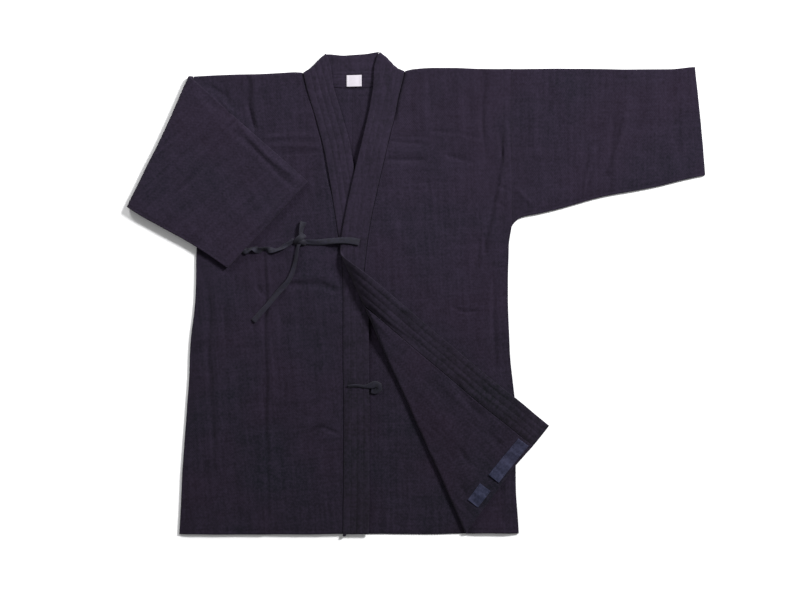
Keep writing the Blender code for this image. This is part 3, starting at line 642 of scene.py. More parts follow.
def woven(name, grain_across, grain_down, grain_height, blue, plum, worn, painted_top_light=TOP_LIGHT_PAINTED):
    """Piece-dyed cotton: staggered grains of thick weft, slubs along the warp, uneven dye and wear,
    and painted light that makes the cloth lighter towards the top of its cut, near the shoulders."""
    material, shader = new_material(name, 0.92, sheen=0.03, specular=0.06)
    cut = add_node(material, "ShaderNodeAttribute", attribute_name="cut").outputs["Vector"]
    ripple = add_node(material, "ShaderNodeTexNoise", [("Vector", cut)], Scale=1000 / THREAD_SWAY, Detail=2.0)
    sway = add_node(material, "ShaderNodeVectorMath", [(0, ripple.outputs["Color"])],
                    operation="SCALE", Scale=THREAD_SWAYS_BY / 1000)
    threads = add_node(material, "ShaderNodeVectorMath", [(0, cut), (1, sway.outputs[0])], operation="ADD")
    apart = add_node(material, "ShaderNodeSeparateXYZ", [("Vector", threads.outputs[0])])
    waves = []
    for socket, size in (("X", grain_across), ("Y", grain_down)):
        scaled = add_node(material, "ShaderNodeMath", [(0, apart.outputs[socket])],
                          operation="MULTIPLY", in_1=2000 * math.pi / size)
        waves.append(add_node(material, "ShaderNodeMath", [(0, scaled.outputs[0])], operation="SINE"))
    grains = add_node(material, "ShaderNodeMath", [(0, waves[0].outputs[0]), (1, waves[1].outputs[0])],
                      operation="MULTIPLY")
    grain = add_node(material, "ShaderNodeMath", [(0, grains.outputs[0])],
                     operation="MULTIPLY_ADD", in_1=0.5, in_2=0.5)
    slubs = []
    for stretch in ((1.0, 0.05, 1.0), (0.05, 1.0, 1.0)):
        drawn = add_node(material, "ShaderNodeMapping", [("Vector", cut)], Scale=stretch)
        slubs.append(add_node(material, "ShaderNodeTexNoise", [("Vector", drawn.outputs[0])],
                              Scale=1000 / STREAK, Detail=3.0, Roughness=0.6))
    streak = add_node(material, "ShaderNodeMath",
                      [(0, slubs[1].outputs["Fac"]), (2, slubs[0].outputs["Fac"])],
                      operation="MULTIPLY_ADD", in_1=SLUBS_UP)
    patch = add_node(material, "ShaderNodeTexNoise", [("Vector", cut)], Scale=1000 / DYE_PATCH, Detail=3.0,
                     Roughness=0.5)
    tint = add_node(material, "ShaderNodeValToRGB", [("Fac", patch.outputs["Fac"])], tones=(blue, plum))
    for element, position in zip(tint.color_ramp.elements, (BLUE_TO, PLUM_FROM)):
        element.position = position
    mottle = add_node(material, "ShaderNodeTexNoise", [("Vector", cut)], Scale=1000 / MOTTLE, Detail=3.0,
                      Roughness=0.65)
    fleck = add_node(material, "ShaderNodeTexNoise", [("Vector", cut)], Scale=1000 / FLECK, Detail=3.0)
    uneven = add_node(material, "ShaderNodeMath", [(0, mottle.outputs["Fac"]), (2, fleck.outputs["Fac"])],
                      operation="MULTIPLY_ADD", in_1=MOTTLE_SHOWS)
    streaked = add_node(material, "ShaderNodeMath", [(0, streak.outputs[0]), (2, uneven.outputs[0])],
                        operation="MULTIPLY_ADD", in_1=STREAKS_SHOW)
    wear = add_node(material, "ShaderNodeMapRange", [("Value", streaked.outputs[0])],
                    in_1=0.90, in_2=1.60, in_3=-0.20, in_4=0.58)
    wear.clamp = False
    # Painted light: lighter towards the top of the cut, falling off down the jacket
    down = add_node(material, "ShaderNodeMath", [(0, apart.outputs["Y"])], operation="ABSOLUTE")
    painted_light_falloff = add_node(material, "ShaderNodeMapRange", [("Value", down.outputs[0])],
                    interpolation_type="SMOOTHSTEP", in_1=PAINTED_LIGHT_FROM / 1000, in_2=PAINTED_LIGHT_OVER / 1000,
                    in_3=painted_top_light, in_4=0.0)
    level = add_node(material, "ShaderNodeMath", [(0, wear.outputs[0]), (1, painted_light_falloff.outputs[0])],
                     operation="ADD", use_clamp=True)
    # The second colour is both the worn tone and the tone of the painted light near the top
    colour = add_node(material, "ShaderNodeMix", [("Factor", level.outputs[0]), (6, tint.outputs["Color"])],
                      data_type="RGBA", in_7=linear(worn))
    raised = add_node(material, "ShaderNodeMath", [(0, streak.outputs[0]), (2, grain.outputs[0])],
                      operation="MULTIPLY_ADD", in_1=0.8)
    height = add_node(material, "ShaderNodeMath", [(0, fleck.outputs["Fac"]), (2, raised.outputs[0])],
                      operation="MULTIPLY_ADD", in_1=1.2)
    bump = add_node(material, "ShaderNodeBump", [("Height", height.outputs[0])],
                    Strength=0.6, Distance=grain_height / 1000)
    material.node_tree.links.new(colour.outputs[2], shader.inputs["Base Color"])
    material.node_tree.links.new(bump.outputs["Normal"], shader.inputs["Normal"])
    return material


@once
def indigo_cotton():
    """Rice-grain weave, softened by washing: matt, with plum and blue patches in the dye."""
    return woven("rice-grain woven cotton, indigo piece-dyed", GRAIN_ACROSS, GRAIN_DOWN, 0.35,
                 INDIGO_BLUE, INDIGO_PLUM, INDIGO_WORN_AND_PAINTED_LIGHT)


THREAD_DARK = "#14131a"
THREAD_CROWN = "#231f2a"


@once
def sewing_thread():
    """Spun cotton thread dyed with the jacket: a little lighter on its crowns than the cloth."""
    material, shader = new_material("spun cotton thread, indigo dyed", 0.85, sheen=0.03, specular=0.1)
    place = add_node(material, "ShaderNodeTexCoord").outputs["Object"]
    ply = add_node(material, "ShaderNodeTexNoise", [("Vector", place)], Scale=700.0, Detail=2.0)
    tint = add_node(material, "ShaderNodeValToRGB", [("Fac", ply.outputs["Fac"])],
                    tones=(THREAD_DARK, THREAD_CROWN))
    material.node_tree.links.new(tint.outputs["Color"], shader.inputs["Base Color"])
    return material


def front_height(places, side):
    """Height of a front's middle: full at the shoulder roll, lower on the panel, lowest at the side seam."""
    settled = FRONT + (BACK + 2 * SHOULDER_ROLL - FRONT) * (1 - smooth(places[:, 1] / 60))
    inward = measure(SIDES, places[:, 1], side) - np.abs(places[:, 0])
    seam = (1 - smooth(inward / 32)) * smooth((places[:, 1] - ARMPIT) / 50)
    return settled + (SIDE_SEAM - FRONT) * seam


def clear_of_edges(places, side):
    """1 on the panel, and 0 at the shoulder roll and the side, where the cloth is held."""
    inward = measure(SIDES, places[:, 1], side) - np.abs(places[:, 0])
    return smooth((places[:, 1] - 12) / 40) * smooth(inward / 18)


def side_edge(side, first, last):
    """A side of the body from one place down to another, on the wearer's right or left."""
    sign = -1 if side == "right" else 1
    return curve_through([(sign * getattr(row, side), row.down) for row in SIDES
                          if first <= row.down <= last], EDGE_STEP)


def seam_edge(side, last):
    """The line where a front meets its band, from the neck down."""
    sign = -1 if side == "right" else 1
    return curve_through([(sign * getattr(row, side), row.down) for row in BAND_SEAMS
                          if row.down <= last], EDGE_STEP)


def panel_neck(side):
    """A panel's edge along the back neck seam, clear of the band where it turns at the shoulder."""
    run = back_neck(side)
    clear = NECK_CLEAR * smooth((np.abs(run[:, 0]) - 40) / 40)
    return run + np.column_stack((np.sign(run[:, 0]) * clear, np.full(len(run), -SEWN_IN)))


def back_neck(side):
    """The back neck seam, from the shoulder to the centre back."""
    sign, neck = (-1, NECK_RIGHT) if side == "right" else (1, NECK_LEFT)
    return curve_through((neck, (sign * 75.0, 18.5), (sign * 52.0, 28.5), (sign * 24.0, BACK_NECK - 0.5),
                          (0.0, BACK_NECK)), EDGE_STEP)


SHOULDER_RIGHT = Fold((-ARMHOLE, 13.0), NECK_RIGHT, BACK, CLOTH / 2, SHOULDER_ROLL)


def place_body_right(places, offsets):
    """Where points of the right panel lie: its back on the table, its front folded down over it."""
    fold = SHOULDER_RIGHT
    points = fold.close(np.column_stack((places, BACK + offsets)))
    front = fold.turned(places) == 1.0
    lies = points[:, :2]
    rise = front_height(lies, "right") - BACK - 2 * SHOULDER_ROLL
    rise += bedded(crease_rise(CREASES_RIGHT, lies) + slack(lies, 11) * clear_of_edges(lies, "right"))
    points[:, 2] += np.where(front, rise, 0.0)
    return points


def sheet_size(outline):
    """The flat size of a piece, and its area, in metres."""
    size = (outline.max(axis=0) - outline.min(axis=0)) / 1000
    return (float(size[0]), float(size[1])), float(abs(turning(outline)) / 2e6)


fold = SHOULDER_RIGHT
seam = seam_edge("right", HEM) - (SEAM_GAP, 0)
side = side_edge("right", ARMPIT, HEM)
armhole = straight_through(((-ARMHOLE, 16.0), (-ARMHOLE, ARMPIT)), EDGE_STEP)
neck = panel_neck("right")
hem = straight_through((seam[-1], side[-1]), EDGE_STEP)
outline = joined(
    armhole, side,
    straight_through((side[-1], (SEWN_IN / 2, HEM)), 12.0),
    straight_through(((SEWN_IN / 2, HEM), (SEWN_IN / 2, BACK_NECK + 0.5)), 12.0),
    neck[-2::-1], fold.open(seam), fold.open(hem), fold.open(side[::-1]), fold.open(armhole[::-1]),
)
slit = side[side[:, 1] > SLIT_TOP]
right_rows = [
    straight_through((seam[-1] + (-2, -HEM_ROW), side[-1] + (4, -HEM_ROW)), EDGE_STEP),
    beside(slit, SLIT_ROW)[:-2],
    beside(side[side[:, 1] < SLIT_TOP], 4.0),
    beside(armhole, ARMHOLE_ROW),
    beside(seam, -4.5)[3:],
]
right_rows = [fold.open(run) for run in right_rows]
right_edges = [fold.open(hem), fold.open(slit)]
body_right = cloth(
    "right_panel", indigo_cotton(), outline, place_body_right, CLOTH / 2,
    layers(outline, fold),
    fold.lines(-8.0, 212.0) + row_lines(right_rows),
    over_rise=lambda spot: row_dip(right_rows, spot) + edge_rise(right_edges, HEM_TURNED, spot),
    under_rise=lambda spot: row_dip(right_rows, spot),
)
right_stitches = stitches("right_panel_stitches", right_rows, place_body_right, -CLOTH / 2 + ROW_DIP - 0.15)
size, area = sheet_size(outline)
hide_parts("body_right")


# Left front and back
# The same cut for the other side, one cloth over the shoulder. Its lower front corner is turned
# back, so the cloth's wrong side, its turned hem and its seam allowances show there.

# The turned corner: the roll of its fold, how it settles, and how it droops past the side
FLAP_ROLL = 4.0
FLAP_SETTLE = 60.0
FLAP_GAP = 3.9
FLAP_DROOP = 4.2
FLAP_DROOP_FROM = 14.0
FLAP_DROOP_OVER = 44.0
# Its standing top: how high, where along the fold and how far, and the way of its crest from the fold
FLAP_LIFT = 21.0
FLAP_LIFT_AT = 88.0
FLAP_LIFT_REACH = 140.0
FLAP_CREST = 46.0
FLAP_CREST_LOW = 5.0
FLAP_CREST_WAY = 0.58
FLAP_FADE = 70.0
# Below that the fold is pressed flatter
FLAP_PRESSED = 0.42
FLAP_PRESSED_FROM = 150.0
FLAP_PRESSED_OVER = 110.0
# The front's hem where it meets the band, which hides its corner
HEM_CORNER_IN = 1.2
HEM_CORNER_FROM = 805.0
HEM_CORNER_OVER = 30.0
HEM_RISES = (60.0, 841.0)
HEM_AT_BAND = 839.0
FLAP_TOP = (-27.8, 325.6)
FLAP_FOOT = (211.0, 857.0)
# Where the left front lies on the right band, and how much that lifts it
OVERLAP_RISE = 4.7
OVERLAP_FROM = 70.0
OVERLAP_FULL = 165.0
OVERLAP_END = 475.0
OVERLAP_GONE = 570.0
OVERLAP_SIDE = 45.0
OVERLAP_FADE = 85.0
# The wider seam beside the top of the turn
TURN_CLEAR = 1.4
TURN_CLEAR_AT = 424.0
TURN_CLEAR_REACH = 75.0

CREASES_LEFT = (
    Crease(97, 8, 78, 92, 9, -1.6, 0.0),
    Crease(62, 124, 150, 126, 8, -0.4, 0.2),
    Crease(60, 134, 140, 137, 9, -0.9, 0.2),
    Crease(64, 150, 132, 153, 8, 0.4, 0.3),
    Crease(64, 167, 130, 169, 10, -1.6, 0.3),
    Crease(70, 178, 150, 180, 12, 0.3, 0.0),
    Crease(146, 113, 202, 116, 10, -0.6, 0.0),
    Crease(205, 119, 248, 130, 9, -0.5, 0.0),
    Crease(172, 160, 224, 172, 11, -0.7, 0.2),
    Crease(110, 206, 190, 210, 14, -0.4, 0.0),
    Crease(273, 104, 276, 160, 10, -1.0, 0.0),
    Crease(276, 150, 269, 206, 10, -1.3, 0.0),
    Crease(270, 202, 247, 306, 9, -1.7, 0.0),
    Crease(247, 306, 246, 340, 9, -1.2, 0.0),
    Crease(284, 104, 285, 166, 16, 0.7, -0.2),
    Crease(284, 164, 276, 218, 15, 0.9, -0.3),
    Crease(275, 220, 254, 320, 15, 1.1, -0.4),
    Crease(268, 210, 286, 218, 8, -0.8, 0.0),
    Crease(266, 236, 284, 246, 8, -0.7, 0.0),
    Crease(236, 312, 232, 348, 10, -1.3, 0.0),
    Crease(232, 348, 220, 386, 10, -1.3, 0.0),
    Crease(186, 438, 209, 447, 9, -0.9, 0.0),
    Crease(209, 447, 236, 445, 9, -0.9, 0.0),
    Crease(262, 388, 263, 562, 12, -1.2, 0.0),
    Crease(276, 768, 279, 840, 10, -0.9, 0.0),
    Crease(142, 10, 143, 84, 13, -0.8, 0.0),
    Crease(242, 4, 243, 158, 12, -1.2, 0.0),
    Crease(228, 8, 229, 140, 18, 0.4, 0.0),
    Crease(196, 20, 190, 96, 26, 0.35, 0.0),
    Crease(120, 240, 190, 300, 30, -0.4, 0.0),
    Crease(60, 250, 130, 380, 34, 0.4, 0.0),
    Crease(215, 240, 160, 380, 30, 0.35, 0.0),
)
CREASES_FLAP = (
    Crease(30, 440, 118, 514, 15, -1.2, 0.3),
    Crease(98, 438, 190, 500, 20, 1.0, 0.2),
    Crease(74, 446, 150, 540, 26, -0.6, 0.0),
    Crease(188, 570, 236, 642, 22, -1.3, 0.0),
    Crease(250, 666, 270, 694, 18, -1.4, 0.0),
    Crease(196, 700, 214, 734, 18, -1.2, 0.0),
    Crease(150, 470, 250, 560, 24, 0.6, 0.0),
    Crease(130, 560, 190, 640, 34, -0.6, 0.0),
    Crease(226, 600, 290, 640, 26, 0.6, 0.0),
    Crease(200, 770, 212, 790, 16, -1.1, 0.0),
    Crease(160, 640, 250, 800, 40, 0.5, 0.0),
)

SHOULDER_LEFT = Fold(NECK_LEFT, (ARMHOLE, -1.0), BACK, CLOTH / 2, SHOULDER_ROLL)
FLAP = Fold(FLAP_FOOT, FLAP_TOP, FRONT, CLOTH / 2, FLAP_ROLL)


def flap_lift(from_top, inward):
    """How far the turned corner stands up, by the way down from its top and in from its fold."""
    along = 1 - smooth(np.abs(from_top - FLAP_LIFT_AT) / FLAP_LIFT_REACH)
    crest = np.clip(FLAP_CREST_WAY * from_top, FLAP_CREST_LOW, FLAP_CREST)
    share = np.clip((inward + FLAP.inset) / (crest + FLAP.inset), 0.0, 1.0)
    rising = 1 - (1 - share) ** 2
    falling = 1 - smooth((inward - crest) / FLAP_FADE)
    return FLAP_LIFT * along * np.where(inward < crest, rising, falling)


def overlap_rise(points):
    """The left front lifts where its band lies on the right band."""
    rise = smooth((points[:, 1] - OVERLAP_FROM) / (OVERLAP_FULL - OVERLAP_FROM))
    fall = 1 - smooth((points[:, 1] - OVERLAP_END) / (OVERLAP_GONE - OVERLAP_END))
    return OVERLAP_RISE * rise * fall * (1 - smooth((points[:, 0] - OVERLAP_SIDE) / OVERLAP_FADE))


def turn_flap(on_front, points, creases):
    """Points of the left front or its band, with the lower corner turned back and settled."""
    turned = FLAP.turned(on_front)
    before = -FLAP.split(on_front)[1] - FLAP.inset
    points = FLAP.close(points)
    lies = points[:, :2]
    along, beyond = FLAP.split(points)
    inward = -beyond - FLAP.inset
    lift = flap_lift(FLAP.length - along, inward)
    rise = lift - (2 * FLAP_ROLL - FLAP_GAP) * smooth(inward / FLAP_SETTLE)
    past_side = lies[:, 0] - measure(SIDES, lies[:, 1], "left") - FLAP_DROOP_FROM
    rise -= FLAP_DROOP * smooth(past_side / FLAP_DROOP_OVER)
    rise += bedded(crease_rise(CREASES_FLAP, lies) + slack(lies, 31) * smooth(inward / 25))
    held = clear_of_edges(lies, "left") * smooth(before / 20)
    flat = bedded(crease_rise(creases, lies) + slack(lies, 11) * held)
    edge = lift * smooth(2 * turned - 1)
    press = FLAP_PRESSED * smooth((FLAP.length - along - FLAP_PRESSED_FROM) / FLAP_PRESSED_OVER)
    press *= (1 - smooth(inward / FLAP_SETTLE)) * (turned > 0)
    points[:, 2] -= press * (points[:, 2] - FRONT)
    points[:, 2] += np.where(turned == 1.0, rise, np.where(turned == 0.0, flat, edge))
    points[:, 2] += overlap_rise(points)
    return points


def place_body_left(places, offsets):
    """Where points of the left panel lie, with its front's lower corner turned back."""
    fold = SHOULDER_LEFT
    points = fold.close(np.column_stack((places, BACK + offsets)))
    front = points.copy()
    front[:, 2] += front_height(points[:, :2], "left") - BACK - 2 * SHOULDER_ROLL
    front = turn_flap(points[:, :2], front, CREASES_LEFT)
    return np.where((fold.turned(places) == 1.0)[:, None], front, points)


def turn_clear(down):
    """A wider seam where the left front and its band turn back together."""
    return TURN_CLEAR * (1 - smooth(np.abs(down - TURN_CLEAR_AT) / TURN_CLEAR_REACH))


fold = SHOULDER_LEFT
seam = seam_edge("left", HEM)
seam[:, 0] += SEAM_GAP + turn_clear(seam[:, 1])
seam[:, 0] -= HEM_CORNER_IN * smooth((seam[:, 1] - HEM_CORNER_FROM) / HEM_CORNER_OVER)
side = side_edge("left", ARMPIT, HEM)
armhole = straight_through(((ARMHOLE, 2.0), (ARMHOLE, ARMPIT)), EDGE_STEP)
neck = panel_neck("left")
hem = straight_through((side[-1], FLAP_FOOT, HEM_RISES, (seam[-1][0], HEM_AT_BAND)), EDGE_STEP)
seam = seam[seam[:, 1] < HEM_AT_BAND - 1.0]
outline = joined(
    fold.open(armhole), fold.open(side), fold.open(hem), fold.open(seam[::-1]), neck[:-1],
    straight_through(((-SEWN_IN / 2, BACK_NECK + 0.5), (-SEWN_IN / 2, HEM)), 12.0),
    straight_through(((-SEWN_IN / 2, HEM), side[-1]), 12.0), side[::-1], armhole[::-1],
)
slit = side[side[:, 1] > SLIT_TOP]
left_rows = [
    beside(hem, -HEM_ROW)[2:-3],
    beside(slit, -SLIT_ROW)[:-2],
    beside(side[side[:, 1] < SLIT_TOP], -4.0),
    beside(armhole, -ARMHOLE_ROW),
    beside(seam, 4.5)[3:-2],
]
left_rows = [fold.open(run) for run in left_rows]
left_edges = [fold.open(hem), fold.open(slit)]
left_armhole = [fold.open(armhole)]
body_left = cloth(
    "left_panel", indigo_cotton(), outline, place_body_left, CLOTH / 2,
    layers(outline, fold),
    fold.lines(-8.0, 204.0)
    + [fold.open(line) for line in FLAP.lines(-12.0, FLAP.length - 45.0)]
    + row_lines(left_rows),
    over_rise=lambda spot: row_dip(left_rows, spot) + edge_rise(left_edges, HEM_TURNED, spot),
    under_rise=lambda spot: row_dip(left_rows, spot) + edge_rise(left_armhole, ARMHOLE_ROW, spot),
)
left_stitches = stitches("left_panel_stitches", left_rows, place_body_left, -CLOTH / 2 + ROW_DIP - 0.15)
left_hem_stitches = stitches("left_hem_stitches", left_rows[:3], place_body_left, CLOTH / 2 - 0.15)
size, area = sheet_size(outline)
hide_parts("body_left")


# Left sleeve
# One straight piece of the same cotton, folded over its top edge and sewn underneath. The seam
# allowance is pressed towards the body and topstitched. The cuff is turned twice.

CUFF_ROW = 15.0
UNDERARM_ROW = 14.0
SLEEVE_TOP_LEFT = Fold((ARMHOLE, -1.0), (634.0, -2.0), BACK, CLOTH / 2, SHOULDER_ROLL)
SLEEVE_DEPTHS = (
    Station(0, 240.0, 262.0),
    Station(60, 240.0, 255.0),
    Station(146, 240.0, 238.0),
    Station(265, 220.0, 218.0),
    Station(360, 205.0, 200.0),
)
UNDERARM_LEFT = (
    (ARMHOLE - SEWN_IN, 283.0), (301.5, 271.5), (316.0, 262.0), (357.0, 253.5), (440.0, 238.0),
    (559.0, 216.5), (653.0, 198.0),
)
CUFF_TOP_LEFT = (634.0, 2.0)
SETTLES_OVER = 50.0
CREASES_SLEEVE_LEFT = (
    Crease(508, 83, 500, 130, 17, 1.5, -0.4),
    Crease(500, 130, 485, 166, 17, 1.5, -0.4),
    Crease(485, 166, 474, 190, 15, 1.3, -0.3),
    Crease(450, 148, 436, 190, 13, 1.6, -0.2),
    Crease(436, 190, 427, 232, 13, 1.6, -0.2),
    Crease(455, 150, 440, 196, 14, -0.8, 0.0),
    Crease(440, 196, 430, 234, 9, -1.5, 0.0),
    Crease(484, 84, 478, 150, 9, -0.9, 0.0),
    Crease(330, 40, 345, 170, 26, 0.5, 0.0),
    Crease(380, 60, 400, 190, 34, -0.5, 0.0),
    Crease(560, 30, 556, 150, 34, 0.6, 0.0),
    Crease(598, 40, 606, 170, 22, -0.5, 0.0),
    Crease(302, 214, 330, 236, 12, 0.8, 0.0),
)


def sleeve_height(down_from_top, depth):
    """Height of a sleeve's upper layer below its top fold, down to its underarm seam."""
    settled = FRONT + (BACK + 2 * SHOULDER_ROLL - FRONT) * (1 - smooth(down_from_top / SETTLES_OVER))
    seam = (1 - smooth((depth - down_from_top) / 30)) * smooth(down_from_top / SETTLES_OVER)
    return settled + (SIDE_SEAM - FRONT) * seam


def place_sleeve_left(places, offsets):
    """Where points of the left sleeve lie."""
    fold = SLEEVE_TOP_LEFT
    points = fold.close(np.column_stack((places, BACK + offsets)))
    lies = points[:, :2]
    along, beyond = fold.split(points)
    depth = measure(SLEEVE_DEPTHS, along, "left")
    rise = sleeve_height(-beyond, depth) - BACK - 2 * SHOULDER_ROLL
    held = smooth((-beyond - 8) / 35) * smooth(along / 25) * smooth((depth + beyond) / 20)
    rise += bedded(crease_rise(CREASES_SLEEVE_LEFT, lies) + slack(lies, 41) * held)
    points[:, 2] += np.where(fold.turned(places) == 1.0, rise, 0.0)
    return points


fold = SLEEVE_TOP_LEFT
armhole = straight_through(((ARMHOLE - SEWN_IN, 2.0), UNDERARM_LEFT[0]), EDGE_STEP)
underarm = curve_through(UNDERARM_LEFT, EDGE_STEP)
cuff = straight_through((UNDERARM_LEFT[-1], CUFF_TOP_LEFT), EDGE_STEP)
edge = joined(armhole, underarm, cuff)
outline = joined(edge, fold.open(edge[::-1]))
sleeve_left_rows = [beside(cuff, CUFF_ROW)[3:], beside(underarm, 5.0)[3:-3], beside(armhole, 2.5)]
sleeve_left_rows += [fold.open(run) for run in sleeve_left_rows]
left_cuff = [cuff, fold.open(cuff)]
left_underarm = [fold.open(underarm)]
sleeve_left = cloth(
    "left_sleeve", indigo_cotton(), outline, place_sleeve_left, CLOTH / 2,
    layers(outline, fold),
    fold.lines(-8.0, 350.0) + row_lines(sleeve_left_rows),
    over_rise=lambda spot: row_dip(sleeve_left_rows, spot) + edge_rise(left_cuff, CUFF_ROW, spot),
    under_rise=lambda spot: row_dip(sleeve_left_rows, spot) + edge_rise(left_underarm, UNDERARM_ROW, spot),
)
sleeve_left_stitches = stitches("left_sleeve_stitches", sleeve_left_rows, place_sleeve_left,
                                -CLOTH / 2 + ROW_DIP - 0.15)
size, area = sheet_size(outline)
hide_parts("sleeve_left")


# Right sleeve
# The same piece for the other arm. It is drawn as if it lay out flat, and then folded over the
# chest with both its layers, so what shows is the side that lay underneath.

SLEEVE_TURN_ROLL = 4.15
SLEEVE_STACK = (BACK + FRONT) / 2
SLEEVE_SETTLE = 1.7
SLEEVE_SETTLED_BY = 50.0
SLEEVE_LOW = 7.6
SLEEVE_PRESSED = 0.50
SLEEVE_PRESSED_BY = 30.0
SLEEVE_TOP_RIGHT = Fold((-596.0, -33.0), (-ARMHOLE, 13.0), BACK, CLOTH / 2, SHOULDER_ROLL)
SLEEVE_TURN = Fold((-416.3, 255.3), (-303.4, 13.0), SLEEVE_STACK, SLEEVE_STACK, SLEEVE_TURN_ROLL)
UNDERARM_RIGHT = (
    (-ARMHOLE - SEAM_GAP, 283.0), (-301.5, 274.5), (-316.0, 269.0), (-416.0, 253.0),
    (-485.0, 229.0), (-555.0, 203.0), (-620.0, 183.0),
)
CUFF_TOP_RIGHT = (-596.5, -29.0)
ARMHOLE_EASE = 0.9
CREASES_SLEEVE_RIGHT = (
    Crease(-211, 92, -244, 140, 10, -1.5, 0.0),
    Crease(-244, 140, -312, 220, 11, -1.3, 0.0),
    Crease(-226, 86, -258, 136, 14, 0.6, 0.0),
    Crease(-258, 136, -324, 214, 14, 0.6, 0.0),
    Crease(-229, 106, -112, 213, 12, -1.8, 0.2),
    Crease(-216, 98, -97, 208, 16, 1.1, -0.3),
    Crease(-280, 40, -250, 72, 22, -0.8, 0.0),
    Crease(-330, 150, -360, 240, 26, 0.6, 0.0),
    Crease(-300, 60, -372, 200, 30, -0.4, 0.0),
    Crease(-240, 230, -180, 300, 34, 0.5, 0.0),
    Crease(-200, 180, -150, 260, 28, -0.4, 0.0),
    Crease(-340, 262, -262, 318, 20, 0.4, 0.0),
    Crease(-214, 330, -116, 228, 9, 0.7, 0.0),
)


def place_sleeve_right(places, offsets):
    """Where points of the right sleeve lie: folded over its top edge, and then over the chest."""
    points = SLEEVE_TOP_RIGHT.close(np.column_stack((places, BACK + offsets)))
    upper = SLEEVE_TOP_RIGHT.turned(places) == 1.0
    beyond = SLEEVE_TOP_RIGHT.split(points)[1]
    settled = FRONT - BACK - 2 * SHOULDER_ROLL
    points[:, 2] += np.where(upper, settled * smooth(-beyond / SETTLES_OVER), 0.0)
    before = points[:, :2]
    points = SLEEVE_TURN.close(points)
    lies = points[:, :2]
    inward = -SLEEVE_TURN.split(points)[1] - SLEEVE_TURN.inset
    over = SLEEVE_TURN.turned(before) == 1.0
    rise = -SLEEVE_SETTLE * smooth(inward / SLEEVE_SETTLED_BY) + slack(lies, 51) * smooth(inward / 30)
    near_top = 1 - smooth(-SLEEVE_TOP_RIGHT.split(before)[1] / SLEEVE_PRESSED_BY)
    rise -= SLEEVE_PRESSED * near_top * smooth(inward / 30) * (points[:, 2] - SLEEVE_LOW)
    points[:, 2] += np.where(over, rise, 0.0)
    points[:, 2] += np.where(over & ~upper, bedded(crease_rise(CREASES_SLEEVE_RIGHT, lies)), 0.0)
    return points


def shows_on_sleeve(spot):
    """Whether each place ends up on the side of the folded sleeve that shows."""
    return (SLEEVE_TOP_RIGHT.turned(spot) == 0.0) & (SLEEVE_TURN.turned(spot) > 0.9)


top = SLEEVE_TOP_RIGHT
armhole = straight_through(((-ARMHOLE - SEAM_GAP - ARMHOLE_EASE, 16.0), (-ARMHOLE - SEAM_GAP, 60.0),
                            UNDERARM_RIGHT[0]), EDGE_STEP)
underarm = curve_through(UNDERARM_RIGHT, EDGE_STEP)
cuff = straight_through((UNDERARM_RIGHT[-1], CUFF_TOP_RIGHT), EDGE_STEP)
edge = joined(armhole, underarm, cuff)
outline = joined(edge, top.open(edge[::-1]))
sleeve_right_rows = [beside(cuff, -CUFF_ROW)[3:], beside(underarm, -5.0)[3:-3]]
right_cuff = [cuff, top.open(cuff)]
turn = SLEEVE_TURN.lines(-14.0, 285.0)
sleeve_right = cloth(
    "right_sleeve", indigo_cotton(), outline, place_sleeve_right, CLOTH / 2,
    (grid(outline, FRONT_MESH, shows_on_sleeve),
     grid(outline, BACK_MESH, lambda spot: ~shows_on_sleeve(spot))),
    top.lines(-8.0, 314.0) + turn + [top.open(line) for line in turn]
    + row_lines(sleeve_right_rows),
    over_rise=lambda spot: row_dip(sleeve_right_rows, spot) + edge_rise(right_cuff, CUFF_ROW, spot),
    under_rise=lambda spot: row_dip(sleeve_right_rows, spot),
)
sleeve_right_stitches = stitches("right_sleeve_stitches", sleeve_right_rows, place_sleeve_right,
                                 -CLOTH / 2 + ROW_DIP - 0.15)
size, area = sheet_size(outline)
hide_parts("sleeve_right")


# Collar band down the right front
# A long strip of closer cotton over layers of the same, quilted lengthways with rows of thread so
# that it stands firm. It is sewn over the front's raw edge, and lies under the left band.

BAND_THICK = 3.2
BAND_WIDTH = 48.0
NECK_SPREAD = 5.0
BAND_BACK = BAND_THICK / 2
BAND_FRONT = 5.2
BAND_AT_NECK = 7.0
BAND_ROWS = (1.5, 13.0, 24.0, 36.0, 46.5)
BAND_RIB = 0.5
BAND_MESH = 2.0
BAND_TURN_STEP = 3.0
NECK_ROLL = (BAND_AT_NECK - BAND_BACK) / 2
NECK_TURN_RIGHT = Fold(NECK_RIGHT, (-50.0, -24.0), BAND_AT_NECK, BAND_THICK / 2, NECK_ROLL, down=True)
NECK_END = math.pi * NECK_ROLL - NECK_TURN_RIGHT.inset + 2.0

BAND_BLUE = "#0d0e13"
BAND_PLUM = "#130f17"
BAND_WORN_AND_PAINTED_LIGHT = "#282130"
BAND_GRAIN = 2.4


@once
def band_cotton():
    """Closer, stiffer cotton than the panels: darker, with a finer and flatter grain."""
    # Painted light: the band is drawn lighter towards the neck, more strongly than the panels
    return woven("close-woven cotton, indigo piece-dyed", BAND_GRAIN, BAND_GRAIN * 1.3, 0.2,
                 BAND_BLUE, BAND_PLUM, BAND_WORN_AND_PAINTED_LIGHT, painted_top_light=0.46)


def band_rib(seam):
    """The band swells between its rows of stitching."""

    def rib(places):
        off = distance_to(seam, places)
        total = np.zeros(len(places))
        for row, after in zip(BAND_ROWS, BAND_ROWS[1:]):
            within = (off > row) & (off < after)
            swell = np.abs(np.sin(math.pi * (off - row) / (after - row))) ** 1.2
            total = np.where(within, BAND_RIB * swell, total)
        return total

    return rib


